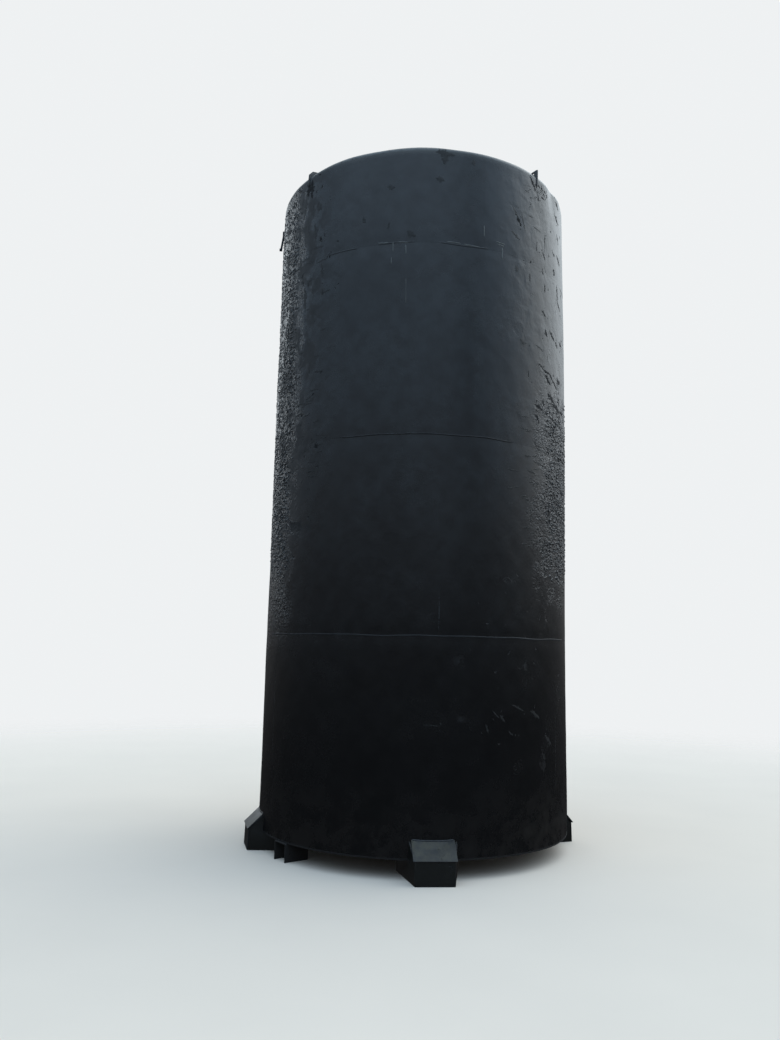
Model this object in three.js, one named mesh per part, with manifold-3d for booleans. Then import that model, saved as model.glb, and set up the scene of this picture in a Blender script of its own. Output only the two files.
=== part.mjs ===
// Vertical storage tank of welded steel plate: a flat floor, four courses of rolled plate,
// a rounded top rim and a shallow cone roof with a manhole, all standing on four short box legs.
// Millimetres, +Z up. The origin is on the ground under the middle of the tank. -Y is the front.
// An azimuth is measured from the front, positive towards +X.

import * as THREE from "three";
import { mergeVertices } from "three/addons/utils/BufferGeometryUtils.js";
import Module from "manifold-3d";

const wasm = await Module();
wasm.setup();

// Shell
const SHELL_RADIUS = 1250; // outside of the plate
const PLATE = 6;
const FACETS = 96; // sides of every large round
const FLOOR_CLEARANCE = 134; // ground to the underside of the floor plate
const FLOOR_PLATE = 8;
const SEAM_HEIGHTS = [1515, 2980, 4476]; // girth seams above the underside of the floor plate
const SHELL_HEIGHT = 5228; // where the plain shell ends and the rim starts to curve in
const PLATES_PER_COURSE = 3;
const COURSE_START = [-60, 7.5, -7.5, 22.5]; // azimuth of a vertical seam in each course
const TOUCH = 0.3; // gap between pieces that are cut to each other
const WELD_ROOT = 8; // height of a girth weld between two courses
const WELD_CROWN = 2; // how far a girth weld stands proud

// Rim and roof
const RIM_BEND = 45; // outside radius of the rim's curve
const RIM_STEPS = 4;
const ROOF_SLOPE = 12; // degrees
const ROOF_PLATE = 5;
const ROOF_GORES = 4;
const ROOF_FIRST_SEAM = 0; // azimuth of a roof seam
const ROOF_CUT_DEPTH = 300; // the gores are cut out from this far under the rim

// Manhole
const NECK_RADIUS = 300;
const NECK_WALL = 6;
const NECK_ABOVE_ROOF = 150;
const NECK_BELOW_ROOF = 25;
const NECK_FACETS = 48;
const FLANGE_RADIUS = 345;
const FLANGE_THICKNESS = 10;
const LID_CLEARANCE = 4; // between the flange's edge and the lid's skirt
const LID_PLATE = 5;
const LID_SKIRT = 45;
const LID_CROWN = 14;
const LID_SHOULDER = 180; // radius where the crown starts to fall away
const LID_SHOULDER_RISE = 9;
const HINGE_AZIMUTH = -90;
const HINGE_WIDTH = 60;
const HINGE_PLATE = 8;
const HINGE_REACH = 42; // from the lid's skirt to the outside of the hinge post
const HANDLE_ROD = 7; // radius of the bent bar
const HANDLE_SPAN = 160;
const HANDLE_RISE = 62;
const HANDLE_BEND = 28;
const HANDLE_STEPS = 16;

// Lifting lugs on the rim
const LUG_PLATE = 12;
const LUG_AZIMUTHS = [-48.8, 47.6, 131.2, -132.4];
const LUG_NAMES = ["front_left", "front_right", "rear_right", "rear_left"];
const LUG_TAIL = 110; // length of lug that runs down the shell
const LUG_TAIL_RADIUS = 1264; // outside of the tail's foot
// The outer edges, as [radius, height above the plain shell's end], from the roof to the tail.
const LUG_SQUARE = [[1112, 106], [1222, 84], [1254, 48], [1258, 0]];
const LUG_TAPER = [[1146, 66], [1246, 85], [1259, 83], [1258, 0]];
const LUG_EYE = 9; // radius
const LUG_EYE_CENTRE = [1217, 59]; // radius and height, as for the edges
const EYE_SIDES = 16;

// Side clip
const CLIP_AZIMUTH = -82;
const CLIP_HEIGHTS = [4908, 5083]; // above the underside of the floor plate
const CLIP_STANDOFF = 26;
const CLIP_WIDTH = 22;
const CLIP_PLATE = 5;
const CLIP_WELD_LENGTH = 34;
const CLIP_FOOT = 12;

// Legs, each set by hand on site at its own azimuth and reach
const LEGS = [
  { name: "front", azimuth: 6.7, reach: 1378 },
  { name: "left", azimuth: -74, reach: 1348 },
  { name: "right", azimuth: 102, reach: 1330 },
  { name: "rear", azimuth: 186.7, reach: 1378 },
];
const LEG_PLATE = 10;
const LEG_WIDTH = 276; // across the outer plate
const LEG_FLARE = 0.2; // how much wider the sides stand apart per millimetre inwards, on one side
const LEG_BATTER = 8; // how far the foot stands out past the knee
const LEG_INNER_REACH = 960; // the sides end here, under the floor
const KNEE_HEIGHT = 160; // ground to the lower edge of the sloped top
const TOP_HEIGHT = 252; // ground to where the sloped top meets the shell
const TOP_OVERHANG = 12; // how far the sloped top stands out past the sides
const TOP_RUN_ON = 1.6; // the sloped top is drawn this many times its run, then cut by the shell
const CUT_MARGIN = 40; // how far a cutting solid reaches past what it cuts

// Block that packs the floor's edge between the left and front legs
const BLOCK_AZIMUTH = -50;
const BLOCK_WIDTH = 150;
const BLOCK_DEPTH = 200;
const BLOCK_REACH = 1262;
const BLOCK_WALL = 8;

const BLACK = { color: 0x262b31, roughness: 0.42, metalness: 0.1 };
const GREY = { color: 0x6f7b82, roughness: 0.5, metalness: 0.1 };
const RIM_GREY = { color: 0x59636b, roughness: 0.5, metalness: 0.1 };
const DARK = { color: 0x1d2126, roughness: 0.55, metalness: 0.1 };

const tank = new THREE.Group();

const rad = THREE.MathUtils.degToRad;
const deg = THREE.MathUtils.radToDeg;
const BASE = FLOOR_CLEARANCE;
const SHELL_TOP = BASE + SHELL_HEIGHT;
const FLOOR_TOP = BASE + FLOOR_PLATE;

function addMesh(parent, name, geometry, finish) {
  const mesh = new THREE.Mesh(geometry, new THREE.MeshStandardMaterial(finish));
  mesh.name = name;
  parent.add(mesh);
  return mesh;
}

// A flat outline, as [x, y] pairs, as a three.js shape.
function outline(points) {
  return new THREE.Shape(points.map(([x, y]) => new THREE.Vector2(x, y)));
}

// A closed profile of [radius, height] pairs, listed anticlockwise, spun about the tank's axis.
function spin(profile, facets = FACETS) {
  const closed = [...profile, profile[0]];
  const geometry = new THREE.LatheGeometry(closed.map(([r, z]) => new THREE.Vector2(r, z)), facets);
  return geometry.rotateX(Math.PI / 2);
}

// A disc or cap whose profile starts and ends on the axis.
function spinFromAxis(profile, facets = FACETS) {
  const geometry = new THREE.LatheGeometry(profile.map(([r, z]) => new THREE.Vector2(r, z)), facets);
  return geometry.rotateX(Math.PI / 2);
}

// Moves a geometry built with its outward direction along +X to an azimuth on the tank.
function toAzimuth(geometry, azimuth) {
  return geometry.rotateZ(rad(azimuth - 90));
}

// A plate whose flat outline is given as [outward, height] pairs, and whose thickness runs
// across, centred on the outward direction. With a hole, the outline is listed anticlockwise.
function radialPlate(points, thickness, hole) {
  const shape = outline(points);
  if (hole) {
    const rim = [];
    for (let i = 0; i < EYE_SIDES; i += 1) {
      const turn = (-2 * Math.PI * i) / EYE_SIDES;
      const x = hole.x + hole.radius * Math.cos(turn);
      const z = hole.z + hole.radius * Math.sin(turn);
      rim.push(new THREE.Vector2(x, z));
    }
    shape.holes.push(new THREE.Path(rim));
  }
  const geometry = new THREE.ExtrudeGeometry(shape, { depth: thickness, bevelEnabled: false });
  geometry.translate(0, 0, -thickness / 2);
  return geometry.rotateX(Math.PI / 2);
}

function toSolid(geometry) {
  const bare = geometry.clone();
  bare.deleteAttribute("normal");
  bare.deleteAttribute("uv");
  const merged = mergeVertices(bare, 0.001);
  return new wasm.Manifold(
    new wasm.Mesh({
      numProp: 3,
      vertProperties: new Float32Array(merged.attributes.position.array),
      triVerts: new Uint32Array(merged.index.array),
    }),
  );
}

function fromSolid(solid) {
  const mesh = solid.getMesh();
  const geometry = new THREE.BufferGeometry();
  geometry.setAttribute("position", new THREE.BufferAttribute(mesh.vertProperties, 3));
  geometry.setIndex(new THREE.BufferAttribute(mesh.triVerts, 1));
  return geometry;
}

// A solid between two four-cornered faces, each listed in the same order round.
function block(lower, upper) {
  const geometry = new THREE.BufferGeometry();
  const corners = [...lower, ...upper].flat();
  geometry.setAttribute("position", new THREE.BufferAttribute(new Float32Array(corners), 3));
  const faces = [[3, 2, 1, 0], [4, 5, 6, 7], [0, 1, 5, 4], [1, 2, 6, 5], [2, 3, 7, 6], [3, 0, 4, 7]];
  geometry.setIndex(faces.flatMap(([a, b, c, d]) => [a, b, c, a, c, d]));
  return geometry;
}

// One rolled plate of a course: an arc of wall between two azimuths.
function rolledPlate(fromAzimuth, toAzimuthEnd, bottom, top) {
  const step = 360 / FACETS;
  const count = Math.round((toAzimuthEnd - fromAzimuth) / step);
  const endGap = deg(TOUCH / 2 / SHELL_RADIUS);
  const azimuths = [];
  for (let i = 0; i <= count; i += 1) {
    azimuths.push(fromAzimuth + i * step);
  }
  azimuths[0] += endGap;
  azimuths[count] -= endGap;
  const at = (radius, azimuth) => [radius * Math.sin(rad(azimuth)), -radius * Math.cos(rad(azimuth))];
  const outside = azimuths.map((azimuth) => at(SHELL_RADIUS, azimuth));
  const inside = azimuths.map((azimuth) => at(SHELL_RADIUS - PLATE, azimuth)).reverse();
  const geometry = new THREE.ExtrudeGeometry(outline([...outside, ...inside]), {
    depth: top - bottom,
    bevelEnabled: false,
  });
  return geometry.translate(0, 0, bottom);
}

// Floor
addMesh(
  tank,
  "floor_plate",
  spinFromAxis([[0, BASE], [SHELL_RADIUS, BASE], [SHELL_RADIUS, FLOOR_TOP], [0, FLOOR_TOP]]),
  DARK,
);

// Courses and the girth welds between them
const seams = SEAM_HEIGHTS.map((height) => BASE + height);
const courseBottoms = [FLOOR_TOP, ...seams.map((z) => z + WELD_ROOT / 2)];
const courseTops = [...seams.map((z) => z - WELD_ROOT / 2), SHELL_TOP];
courseBottoms.forEach((bottom, course) => {
  const sweep = 360 / PLATES_PER_COURSE;
  for (let plate = 0; plate < PLATES_PER_COURSE; plate += 1) {
    const start = COURSE_START[course] + plate * sweep;
    addMesh(
      tank,
      `course_${course + 1}_plate_${plate + 1}`,
      rolledPlate(start, start + sweep, bottom, courseTops[course]),
      BLACK,
    );
  }
});
seams.forEach((z, index) => {
  const half = WELD_ROOT / 2;
  const profile = [
    [SHELL_RADIUS - PLATE, z - half],
    [SHELL_RADIUS, z - half],
    [SHELL_RADIUS + WELD_CROWN, z],
    [SHELL_RADIUS, z + half],
    [SHELL_RADIUS - PLATE, z + half],
  ];
  addMesh(tank, `girth_weld_${index + 1}`, spin(profile), BLACK);
});

// Rim: the wall curves in from vertical until it lies at the roof's slope
const rimTurn = 90 - ROOF_SLOPE;
function rimArc(radius) {
  const centre = SHELL_RADIUS - RIM_BEND;
  const points = [];
  for (let i = 0; i <= RIM_STEPS; i += 1) {
    const angle = rad((rimTurn * i) / RIM_STEPS);
    points.push([centre + radius * Math.cos(angle), SHELL_TOP + radius * Math.sin(angle)]);
  }
  return points;
}
const rimOutside = rimArc(RIM_BEND);
const rimInside = rimArc(RIM_BEND - PLATE);
addMesh(tank, "roof_rim", spin([...rimOutside, ...rimInside.reverse()]), RIM_GREY);

// Roof: gores cut from one cone
const [rimEndRadius, rimEndHeight] = rimOutside[RIM_STEPS];
const slope = Math.tan(rad(ROOF_SLOPE));
const roofTopAt = (radius) => rimEndHeight + (rimEndRadius - radius) * slope;
const roofUnder = ROOF_PLATE / Math.cos(rad(ROOF_SLOPE));
const roofOuter = rimEndRadius - TOUCH;
const roofInner = NECK_RADIUS + TOUCH * 2;
// The plate's outer edge is square to its slope, as the rim's end is.
const edgeShift = ROOF_PLATE * Math.sin(rad(ROOF_SLOPE));
const cone = toSolid(
  spin([
    [roofInner, roofTopAt(roofInner) - roofUnder],
    [roofOuter - edgeShift, roofTopAt(roofOuter) - ROOF_PLATE * Math.cos(rad(ROOF_SLOPE))],
    [roofOuter, roofTopAt(roofOuter)],
    [roofInner, roofTopAt(roofInner)],
  ]),
);
for (let gore = 0; gore < ROOF_GORES; gore += 1) {
  const half = 180 / ROOF_GORES;
  const reach = SHELL_RADIUS * 2;
  const middle = ROOF_FIRST_SEAM + half + gore * half * 2;
  const spread = reach * Math.tan(rad(half));
  const back = (TOUCH / 2) / Math.sin(rad(half));
  const wedge = new THREE.ExtrudeGeometry(outline([[back, 0], [reach, -spread], [reach, spread]]), {
    depth: SHELL_RADIUS,
    bevelEnabled: false,
  });
  wedge.translate(0, 0, SHELL_TOP - ROOF_CUT_DEPTH);
  const cut = cone.intersect(toSolid(toAzimuth(wedge, middle)));
  addMesh(tank, `roof_gore_${gore + 1}`, fromSolid(cut), GREY);
}

// Manhole neck, flange and lid
const neckBottom = roofTopAt(NECK_RADIUS) - NECK_BELOW_ROOF;
const neckTop = roofTopAt(NECK_RADIUS) + NECK_ABOVE_ROOF;
addMesh(
  tank,
  "manhole_neck",
  spin(
    [
      [NECK_RADIUS - NECK_WALL, neckBottom],
      [NECK_RADIUS, neckBottom],
      [NECK_RADIUS, neckTop],
      [NECK_RADIUS - NECK_WALL, neckTop],
    ],
    NECK_FACETS,
  ),
  GREY,
);
addMesh(
  tank,
  "manhole_flange",
  spin(
    [
      [NECK_RADIUS + TOUCH, neckTop - FLANGE_THICKNESS],
      [FLANGE_RADIUS, neckTop - FLANGE_THICKNESS],
      [FLANGE_RADIUS, neckTop],
      [NECK_RADIUS + TOUCH, neckTop],
    ],
    NECK_FACETS,
  ),
  GREY,
);
const skirtInside = FLANGE_RADIUS + LID_CLEARANCE;
const skirtOutside = skirtInside + LID_PLATE;
const lidUnder = neckTop + TOUCH;
const lidEdgeTop = lidUnder + LID_PLATE;
addMesh(
  tank,
  "manhole_lid",
  spinFromAxis(
    [
      [0, lidUnder + LID_CROWN],
      [LID_SHOULDER, lidUnder + LID_SHOULDER_RISE],
      [NECK_RADIUS, lidUnder],
      [skirtInside, lidUnder],
      [skirtInside, lidEdgeTop - LID_SKIRT],
      [skirtOutside, lidEdgeTop - LID_SKIRT],
      [skirtOutside, lidEdgeTop - LID_PLATE],
      [skirtInside, lidEdgeTop],
      [NECK_RADIUS, lidEdgeTop],
      [LID_SHOULDER, lidEdgeTop + LID_SHOULDER_RISE],
      [0, lidEdgeTop + LID_CROWN],
    ],
    NECK_FACETS,
  ),
  GREY,
);

// Hinge post: stands on the roof beside the neck and reaches over the lid's edge
const postOutside = skirtOutside + HINGE_REACH;
const postInside = postOutside - HINGE_PLATE;
const postFoot = (radius) => roofTopAt(radius) + TOUCH * 2;
const strapUnder = lidEdgeTop + TOUCH;
const hingePost = radialPlate(
  [
    [postInside, postFoot(postInside)],
    [postOutside, postFoot(postOutside)],
    [postOutside, strapUnder + HINGE_PLATE],
    [NECK_RADIUS + HINGE_PLATE, strapUnder + HINGE_PLATE],
    [NECK_RADIUS + HINGE_PLATE, strapUnder],
    [postInside, strapUnder],
  ],
  HINGE_WIDTH,
);
addMesh(tank, "lid_hinge_post", toAzimuth(hingePost, HINGE_AZIMUTH), GREY);

// Lid handle: a round bar bent to a flat-topped arch, standing across the middle of the lid
const handleInside = HANDLE_SPAN / 2 - HANDLE_ROD;
const crownFall = ((LID_CROWN - LID_SHOULDER_RISE) * handleInside) / LID_SHOULDER;
const handleFoot = lidEdgeTop + LID_CROWN - crownFall + TOUCH;
function handlePath() {
  const half = HANDLE_SPAN / 2;
  const top = handleFoot + HANDLE_RISE;
  const path = new THREE.CurvePath();
  const corner = (a, b, c) => new THREE.QuadraticBezierCurve3(a, b, c);
  const at = (y, z) => new THREE.Vector3(0, y, z);
  path.add(new THREE.LineCurve3(at(-half, handleFoot), at(-half, top - HANDLE_BEND)));
  path.add(corner(at(-half, top - HANDLE_BEND), at(-half, top), at(-half + HANDLE_BEND, top)));
  path.add(new THREE.LineCurve3(at(-half + HANDLE_BEND, top), at(half - HANDLE_BEND, top)));
  path.add(corner(at(half - HANDLE_BEND, top), at(half, top), at(half, top - HANDLE_BEND)));
  path.add(new THREE.LineCurve3(at(half, top - HANDLE_BEND), at(half, handleFoot)));
  return path;
}
const rodSection = new THREE.Shape();
rodSection.absarc(0, 0, HANDLE_ROD, 0, 2 * Math.PI);
const handle = new THREE.ExtrudeGeometry(rodSection, {
  steps: HANDLE_STEPS,
  curveSegments: 4,
  extrudePath: handlePath(),
  bevelEnabled: false,
});
addMesh(tank, "lid_handle", handle, DARK);

// Lifting lugs: plates on edge that ride over the rim and run down the shell
const seatRadius = SHELL_RADIUS + TOUCH * 2;
const lugSeat = [
  [seatRadius, -LUG_TAIL],
  ...rimArc(RIM_BEND + TOUCH * 2).map(([r, z]) => [r, z - SHELL_TOP]),
];
// Outlines run on from the seat, from the roof out to the foot of the tail. Two lugs are cut
// square with a clipped corner, two taper to the roof and have an eye.
const lugEye = { x: LUG_EYE_CENTRE[0], z: SHELL_TOP + LUG_EYE_CENTRE[1], radius: LUG_EYE };
LUG_NAMES.forEach((place, index) => {
  const tapered = index % 2 === 1;
  const edge = tapered ? LUG_TAPER : LUG_SQUARE;
  const end = edge[0][0];
  const roofSeat = [end, roofTopAt(end) - SHELL_TOP + TOUCH * 2];
  const foot = [LUG_TAIL_RADIUS, -LUG_TAIL];
  const points = [...lugSeat, roofSeat, ...edge, foot].map(([r, z]) => [r, z + SHELL_TOP]);
  const geometry = radialPlate(points.reverse(), LUG_PLATE, tapered ? lugEye : null);
  addMesh(tank, `lifting_lug_${place}`, toAzimuth(geometry, LUG_AZIMUTHS[index]), RIM_GREY);
});

// Side clip: a strap welded at its top end that leans away from the shell to a turned-out foot
const [clipLow, clipHigh] = CLIP_HEIGHTS.map((height) => BASE + height);
const clipBack = SHELL_RADIUS + TOUCH;
const clipStrap = radialPlate(
  [
    [clipBack, clipHigh],
    [clipBack, clipHigh - CLIP_WELD_LENGTH],
    [clipBack + CLIP_STANDOFF - CLIP_PLATE, clipLow + CLIP_PLATE],
    [clipBack + CLIP_STANDOFF - CLIP_PLATE, clipLow],
    [clipBack + CLIP_STANDOFF + CLIP_FOOT, clipLow],
    [clipBack + CLIP_STANDOFF + CLIP_FOOT, clipLow + CLIP_PLATE],
    [clipBack + CLIP_STANDOFF, clipLow + CLIP_PLATE],
    [clipBack + CLIP_PLATE, clipHigh - CLIP_WELD_LENGTH],
    [clipBack + CLIP_PLATE, clipHigh],
  ],
  CLIP_WIDTH,
);
addMesh(tank, "side_clip", toAzimuth(clipStrap, CLIP_AZIMUTH), BLACK);

// What the legs and the packing block are cut to: the tank's own outside, a touch larger
const tankBody = toSolid(
  spinFromAxis(
    [
      [0, BASE - TOUCH],
      [SHELL_RADIUS + TOUCH, BASE - TOUCH],
      [SHELL_RADIUS + TOUCH, SHELL_TOP],
      [0, SHELL_TOP],
    ],
    FACETS * 2,
  ),
);

// Half the distance between a leg's two sides, outside to outside, at a distance from the axis.
function legHalfWidth(radius, reach) {
  return LEG_WIDTH / 2 + (reach - radius) * LEG_FLARE;
}

// The folded wall of a leg: the outer plate and two sides that spread as they run inwards.
function legWall(reach) {
  const frontAt = (z) => reach + LEG_BATTER * (1 - z / TOP_HEIGHT);
  const section = (inset, z) => {
    const front = frontAt(z) - inset;
    const back = LEG_INNER_REACH - (inset > 0 ? LEG_PLATE : 0);
    const halfFront = legHalfWidth(front, reach) - inset;
    const halfBack = legHalfWidth(back, reach) - inset;
    return [[back, -halfBack], [front, -halfFront], [front, halfFront], [back, halfBack]];
  };
  const prism = (inset, low, high) =>
    toSolid(
      block(
        section(inset, low).map(([x, y]) => [x, y, low]),
        section(inset, high).map(([x, y]) => [x, y, high]),
      ),
    );
  const outside = prism(0, 0, TOP_HEIGHT);
  const inside = prism(LEG_PLATE, -CUT_MARGIN, TOP_HEIGHT + CUT_MARGIN);
  // Everything above the sloped top's underside is cut away.
  const rise = TOP_HEIGHT - KNEE_HEIGHT;
  const run = reach - SHELL_RADIUS;
  const under = (radius) => KNEE_HEIGHT + ((reach - radius) * rise) / run - TOUCH;
  const far = reach + CUT_MARGIN;
  const ceiling = under(0) + CUT_MARGIN;
  const above = radialPlate(
    [[0, ceiling], [0, under(0)], [far, under(far)], [far, ceiling]],
    2 * legHalfWidth(0, reach) + CUT_MARGIN,
  );
  return outside.subtract(inside).subtract(toSolid(above));
}

// The sloped plate that closes the leg from its knee up to the shell.
function legTop(reach) {
  const rise = TOP_HEIGHT - KNEE_HEIGHT;
  const run = reach - SHELL_RADIUS;
  const lean = Math.atan2(rise, run);
  const lip = TOP_OVERHANG / 2;
  const low = [reach + lip, KNEE_HEIGHT - (lip * rise) / run];
  const high = [reach - run * TOP_RUN_ON, KNEE_HEIGHT + rise * TOP_RUN_ON];
  const across = [LEG_PLATE * Math.sin(lean), LEG_PLATE * Math.cos(lean)];
  const raised = ([radius, z]) => [radius + across[0], z + across[1]];
  const profile = [low, raised(low), raised(high), high];
  return toSolid(radialPlate(profile, LEG_WIDTH + TOP_OVERHANG * 2));
}

LEGS.forEach(({ name, azimuth, reach }) => {
  const turned = (solid) => toAzimuth(fromSolid(solid), azimuth);
  const wall = toSolid(turned(legWall(reach))).subtract(tankBody);
  const top = toSolid(turned(legTop(reach))).subtract(tankBody);
  addMesh(tank, `leg_${name}_wall`, fromSolid(wall), BLACK);
  addMesh(tank, `leg_${name}_top`, fromSolid(top), GREY);
});

// Packing block: a short open channel standing on the ground under the floor's edge
const blockHalf = BLOCK_WIDTH / 2;
const blockTop = BASE - TOUCH;
const channel = new THREE.ExtrudeGeometry(
  outline([
    [-blockHalf, 0],
    [-blockHalf + BLOCK_WALL, 0],
    [-blockHalf + BLOCK_WALL, blockTop - BLOCK_WALL],
    [blockHalf - BLOCK_WALL, blockTop - BLOCK_WALL],
    [blockHalf - BLOCK_WALL, 0],
    [blockHalf, 0],
    [blockHalf, blockTop],
    [-blockHalf, blockTop],
  ]),
  { depth: BLOCK_DEPTH, bevelEnabled: false },
);
channel.rotateX(Math.PI / 2);
channel.rotateZ(Math.PI / 2);
channel.translate(BLOCK_REACH - BLOCK_DEPTH, 0, 0);
addMesh(tank, "packing_block", toAzimuth(channel, BLOCK_AZIMUTH), DARK);

export default tank;
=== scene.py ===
# %% [markdown]
# # A vertical storage tank, dressed for its picture
# The tank is a tall drum of welded steel plate on four short box legs, brushed over with
# thick black bitumen paint. The frame gives every solid its place, so the lesson only has to
# put the real surface on them: waves in the rolled plate, weld beads, and paint.
# Everything is in metres, the origin is on the ground under the middle of the tank, and the
# photographed front faces -Y.

# %% Load the frame
import math

import bmesh
import bpy
import numpy as np
from mathutils import Matrix, Vector


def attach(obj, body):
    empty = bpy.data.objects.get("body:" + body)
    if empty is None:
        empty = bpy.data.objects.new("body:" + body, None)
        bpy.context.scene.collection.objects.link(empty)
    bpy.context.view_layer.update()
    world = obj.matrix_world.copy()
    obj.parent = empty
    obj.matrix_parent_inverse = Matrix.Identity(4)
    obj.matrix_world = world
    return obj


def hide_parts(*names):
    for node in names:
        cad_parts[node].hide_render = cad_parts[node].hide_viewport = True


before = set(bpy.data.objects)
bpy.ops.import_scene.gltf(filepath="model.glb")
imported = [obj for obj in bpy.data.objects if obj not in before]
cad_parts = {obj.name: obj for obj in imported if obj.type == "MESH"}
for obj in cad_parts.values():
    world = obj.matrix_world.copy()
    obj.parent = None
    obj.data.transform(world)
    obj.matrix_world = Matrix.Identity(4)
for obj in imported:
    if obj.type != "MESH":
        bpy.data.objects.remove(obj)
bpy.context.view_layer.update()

# %% [markdown]
# ## The camera
# A camera can be set by eye, or worked out from what the photograph shows. Here the level of
# the welds, the outline of the drum and the feet gave its place, and three small turns give
# its direction. It stands at eye height, looks slightly up, and is turned a little to one side.

# %% Make the camera
EYE = Vector((0.0, -7.311, 1.554))
yaw, pitch, roll = (math.radians(turn) for turn in (-1.87, 8.62, 1.31))
FOCAL_PIXELS = 850.0  # focal length measured in pixels of a 780 x 1040 picture
PICTURE_HEIGHT = 1040.0
SENSOR = 36.0

ahead = Vector(
    (math.sin(yaw) * math.cos(pitch), math.cos(yaw) * math.cos(pitch), math.sin(pitch))
)
level_right = Vector((math.cos(yaw), -math.sin(yaw), 0.0))
level_up = level_right.cross(ahead)
right = level_right * math.cos(roll) + level_up * math.sin(roll)
up = -level_right * math.sin(roll) + level_up * math.cos(roll)

camera = bpy.data.objects.new("camera", bpy.data.cameras.new("camera"))
bpy.context.scene.collection.objects.link(camera)
camera.matrix_world = Matrix.Translation(EYE) @ Matrix((right, up, -ahead)).transposed().to_4x4()
camera.data.sensor_width = SENSOR
camera.data.lens = FOCAL_PIXELS / PICTURE_HEIGHT * SENSOR
bpy.context.scene.camera = camera
print("camera", round(camera.data.lens, 2), "mm at", tuple(camera.location))

# %% [markdown]
# ## Small tools for shader nodes
# A material in Blender is a tree of nodes. `Value` stands for what one node works out. It adds
# and multiplies like a plain number, and each sum or product puts a node into the tree, so a
# mask is written the way it is thought of.


# %% Node helpers
class Value:
    """What one node of a shader tree works out."""

    def __init__(self, socket):
        self.socket = socket
        self.tree = socket.id_data

    def __add__(self, other):
        return calc("ADD", self, other)

    def __sub__(self, other):
        return calc("SUBTRACT", self, other)

    def __rsub__(self, other):
        return calc("SUBTRACT", other, self)

    def __mul__(self, other):
        return calc("MULTIPLY", self, other)

    def __truediv__(self, other):
        return calc("DIVIDE", self, other)

    def __rtruediv__(self, other):
        return calc("DIVIDE", other, self)

    def __abs__(self):
        return calc("ABSOLUTE", self)


def feed(socket, value):
    """Links a value to a socket, or sets the socket to a plain number or colour."""
    source = value.socket if isinstance(value, Value) else value
    if isinstance(source, bpy.types.NodeSocket):
        socket.id_data.links.new(source, socket)
    else:
        socket.default_value = source


def calc(operation, *values):
    """A math node in the tree that the values belong to."""
    tree = next(value.tree for value in values if isinstance(value, Value))
    node = tree.nodes.new("ShaderNodeMath")
    node.operation = operation
    for socket, value in zip(node.inputs, values):
        feed(socket, value)
    return Value(node.outputs[0])


def most(first, *others):
    """The highest of several values."""
    for other in others:
        first = calc("MAXIMUM", first, other)
    return first


def fade(value, start, end, low=0.0, high=1.0):
    """Goes smoothly from low to high while value goes from start to end."""
    node = value.tree.nodes.new("ShaderNodeMapRange")
    node.interpolation_type = "SMOOTHSTEP"
    for name, number in zip(("From Min", "From Max", "To Min", "To Max"), (start, end, low, high)):
        feed(node.inputs[name], number)
    feed(node.inputs["Value"], value)
    return Value(node.outputs[0])


def mix(factor, first, second):
    """The first colour where factor is nought, the second where it is one."""
    node = factor.tree.nodes.new("ShaderNodeMix")
    node.data_type = "RGBA"
    for number, value in zip((0, 6, 7), (factor, first, second)):
        feed(node.inputs[number], value)
    return Value(node.outputs[2])


def stretched(place, scale, turn=(0, 0, 0)):
    """The position, turned and scaled, for noise that runs in one direction."""
    node = place.tree.nodes.new("ShaderNodeMapping")
    feed(node.inputs["Vector"], place)
    node.inputs["Scale"].default_value = scale
    node.inputs["Rotation"].default_value = turn
    return Value(node.outputs[0])


def noise(place, scale, detail=2.0, rough=0.5, warp=0.0):
    node = place.tree.nodes.new("ShaderNodeTexNoise")
    feed(node.inputs["Vector"], place)
    feed(node.inputs["Scale"], scale)
    for name, number in (("Detail", detail), ("Roughness", rough), ("Distortion", warp)):
        node.inputs[name].default_value = number
    return Value(node.outputs[0])


def parts_of(vector):
    """The x, y and z of a vector as three values."""
    node = vector.tree.nodes.new("ShaderNodeSeparateXYZ")
    feed(node.inputs[0], vector)
    return [Value(output) for output in node.outputs]


def new_group(name, numbers, results):
    """A node group that is given the position and some numbers, each with its usual value.
    Returns the group, what it is given, and the sockets that its results go to."""
    group = bpy.data.node_groups.new(name, "ShaderNodeTree")
    sockets = group.interface
    sockets.new_socket("Position", in_out="INPUT", socket_type="NodeSocketVector")
    for label, usual in numbers.items():
        socket = sockets.new_socket(label, in_out="INPUT", socket_type="NodeSocketFloat")
        socket.default_value = usual
    for label in results:
        sockets.new_socket(label, in_out="OUTPUT", socket_type="NodeSocketFloat")
    given = group.nodes.new("NodeGroupInput").outputs
    given = {socket.name: Value(socket) for socket in given if socket.name}
    return group, given, group.nodes.new("NodeGroupOutput").inputs


def use_group(group, place, **numbers):
    """Adds a node group to the tree of the position, and returns its results by name."""
    node = place.tree.nodes.new("ShaderNodeGroup")
    node.node_tree = group
    feed(node.inputs["Position"], place)
    for label, number in numbers.items():
        feed(node.inputs[label.replace("_", " ").capitalize()], number)
    return {socket.name: Value(socket) for socket in node.outputs}


def new_finish(name):
    """A material, its shader, and the position on the tank."""
    finish = bpy.data.materials.new(name)
    finish.use_nodes = True
    nodes = finish.node_tree.nodes
    place = Value(nodes.new("ShaderNodeTexCoord").outputs["Object"])
    return finish, nodes["Principled BSDF"], place


print("node helpers ready")

# %% [markdown]
# ## Light
# Black paint has hardly any colour of its own: what the eye reads as its grey is the sky in
# the gloss. So the light is one large soft dome, bright overhead, weaker towards the horizon
# and dark below it, and a little stronger on the right. It could be built from lamps, but a
# dome reflects without edges. The camera sees a plain pale backdrop in its place.

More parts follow.
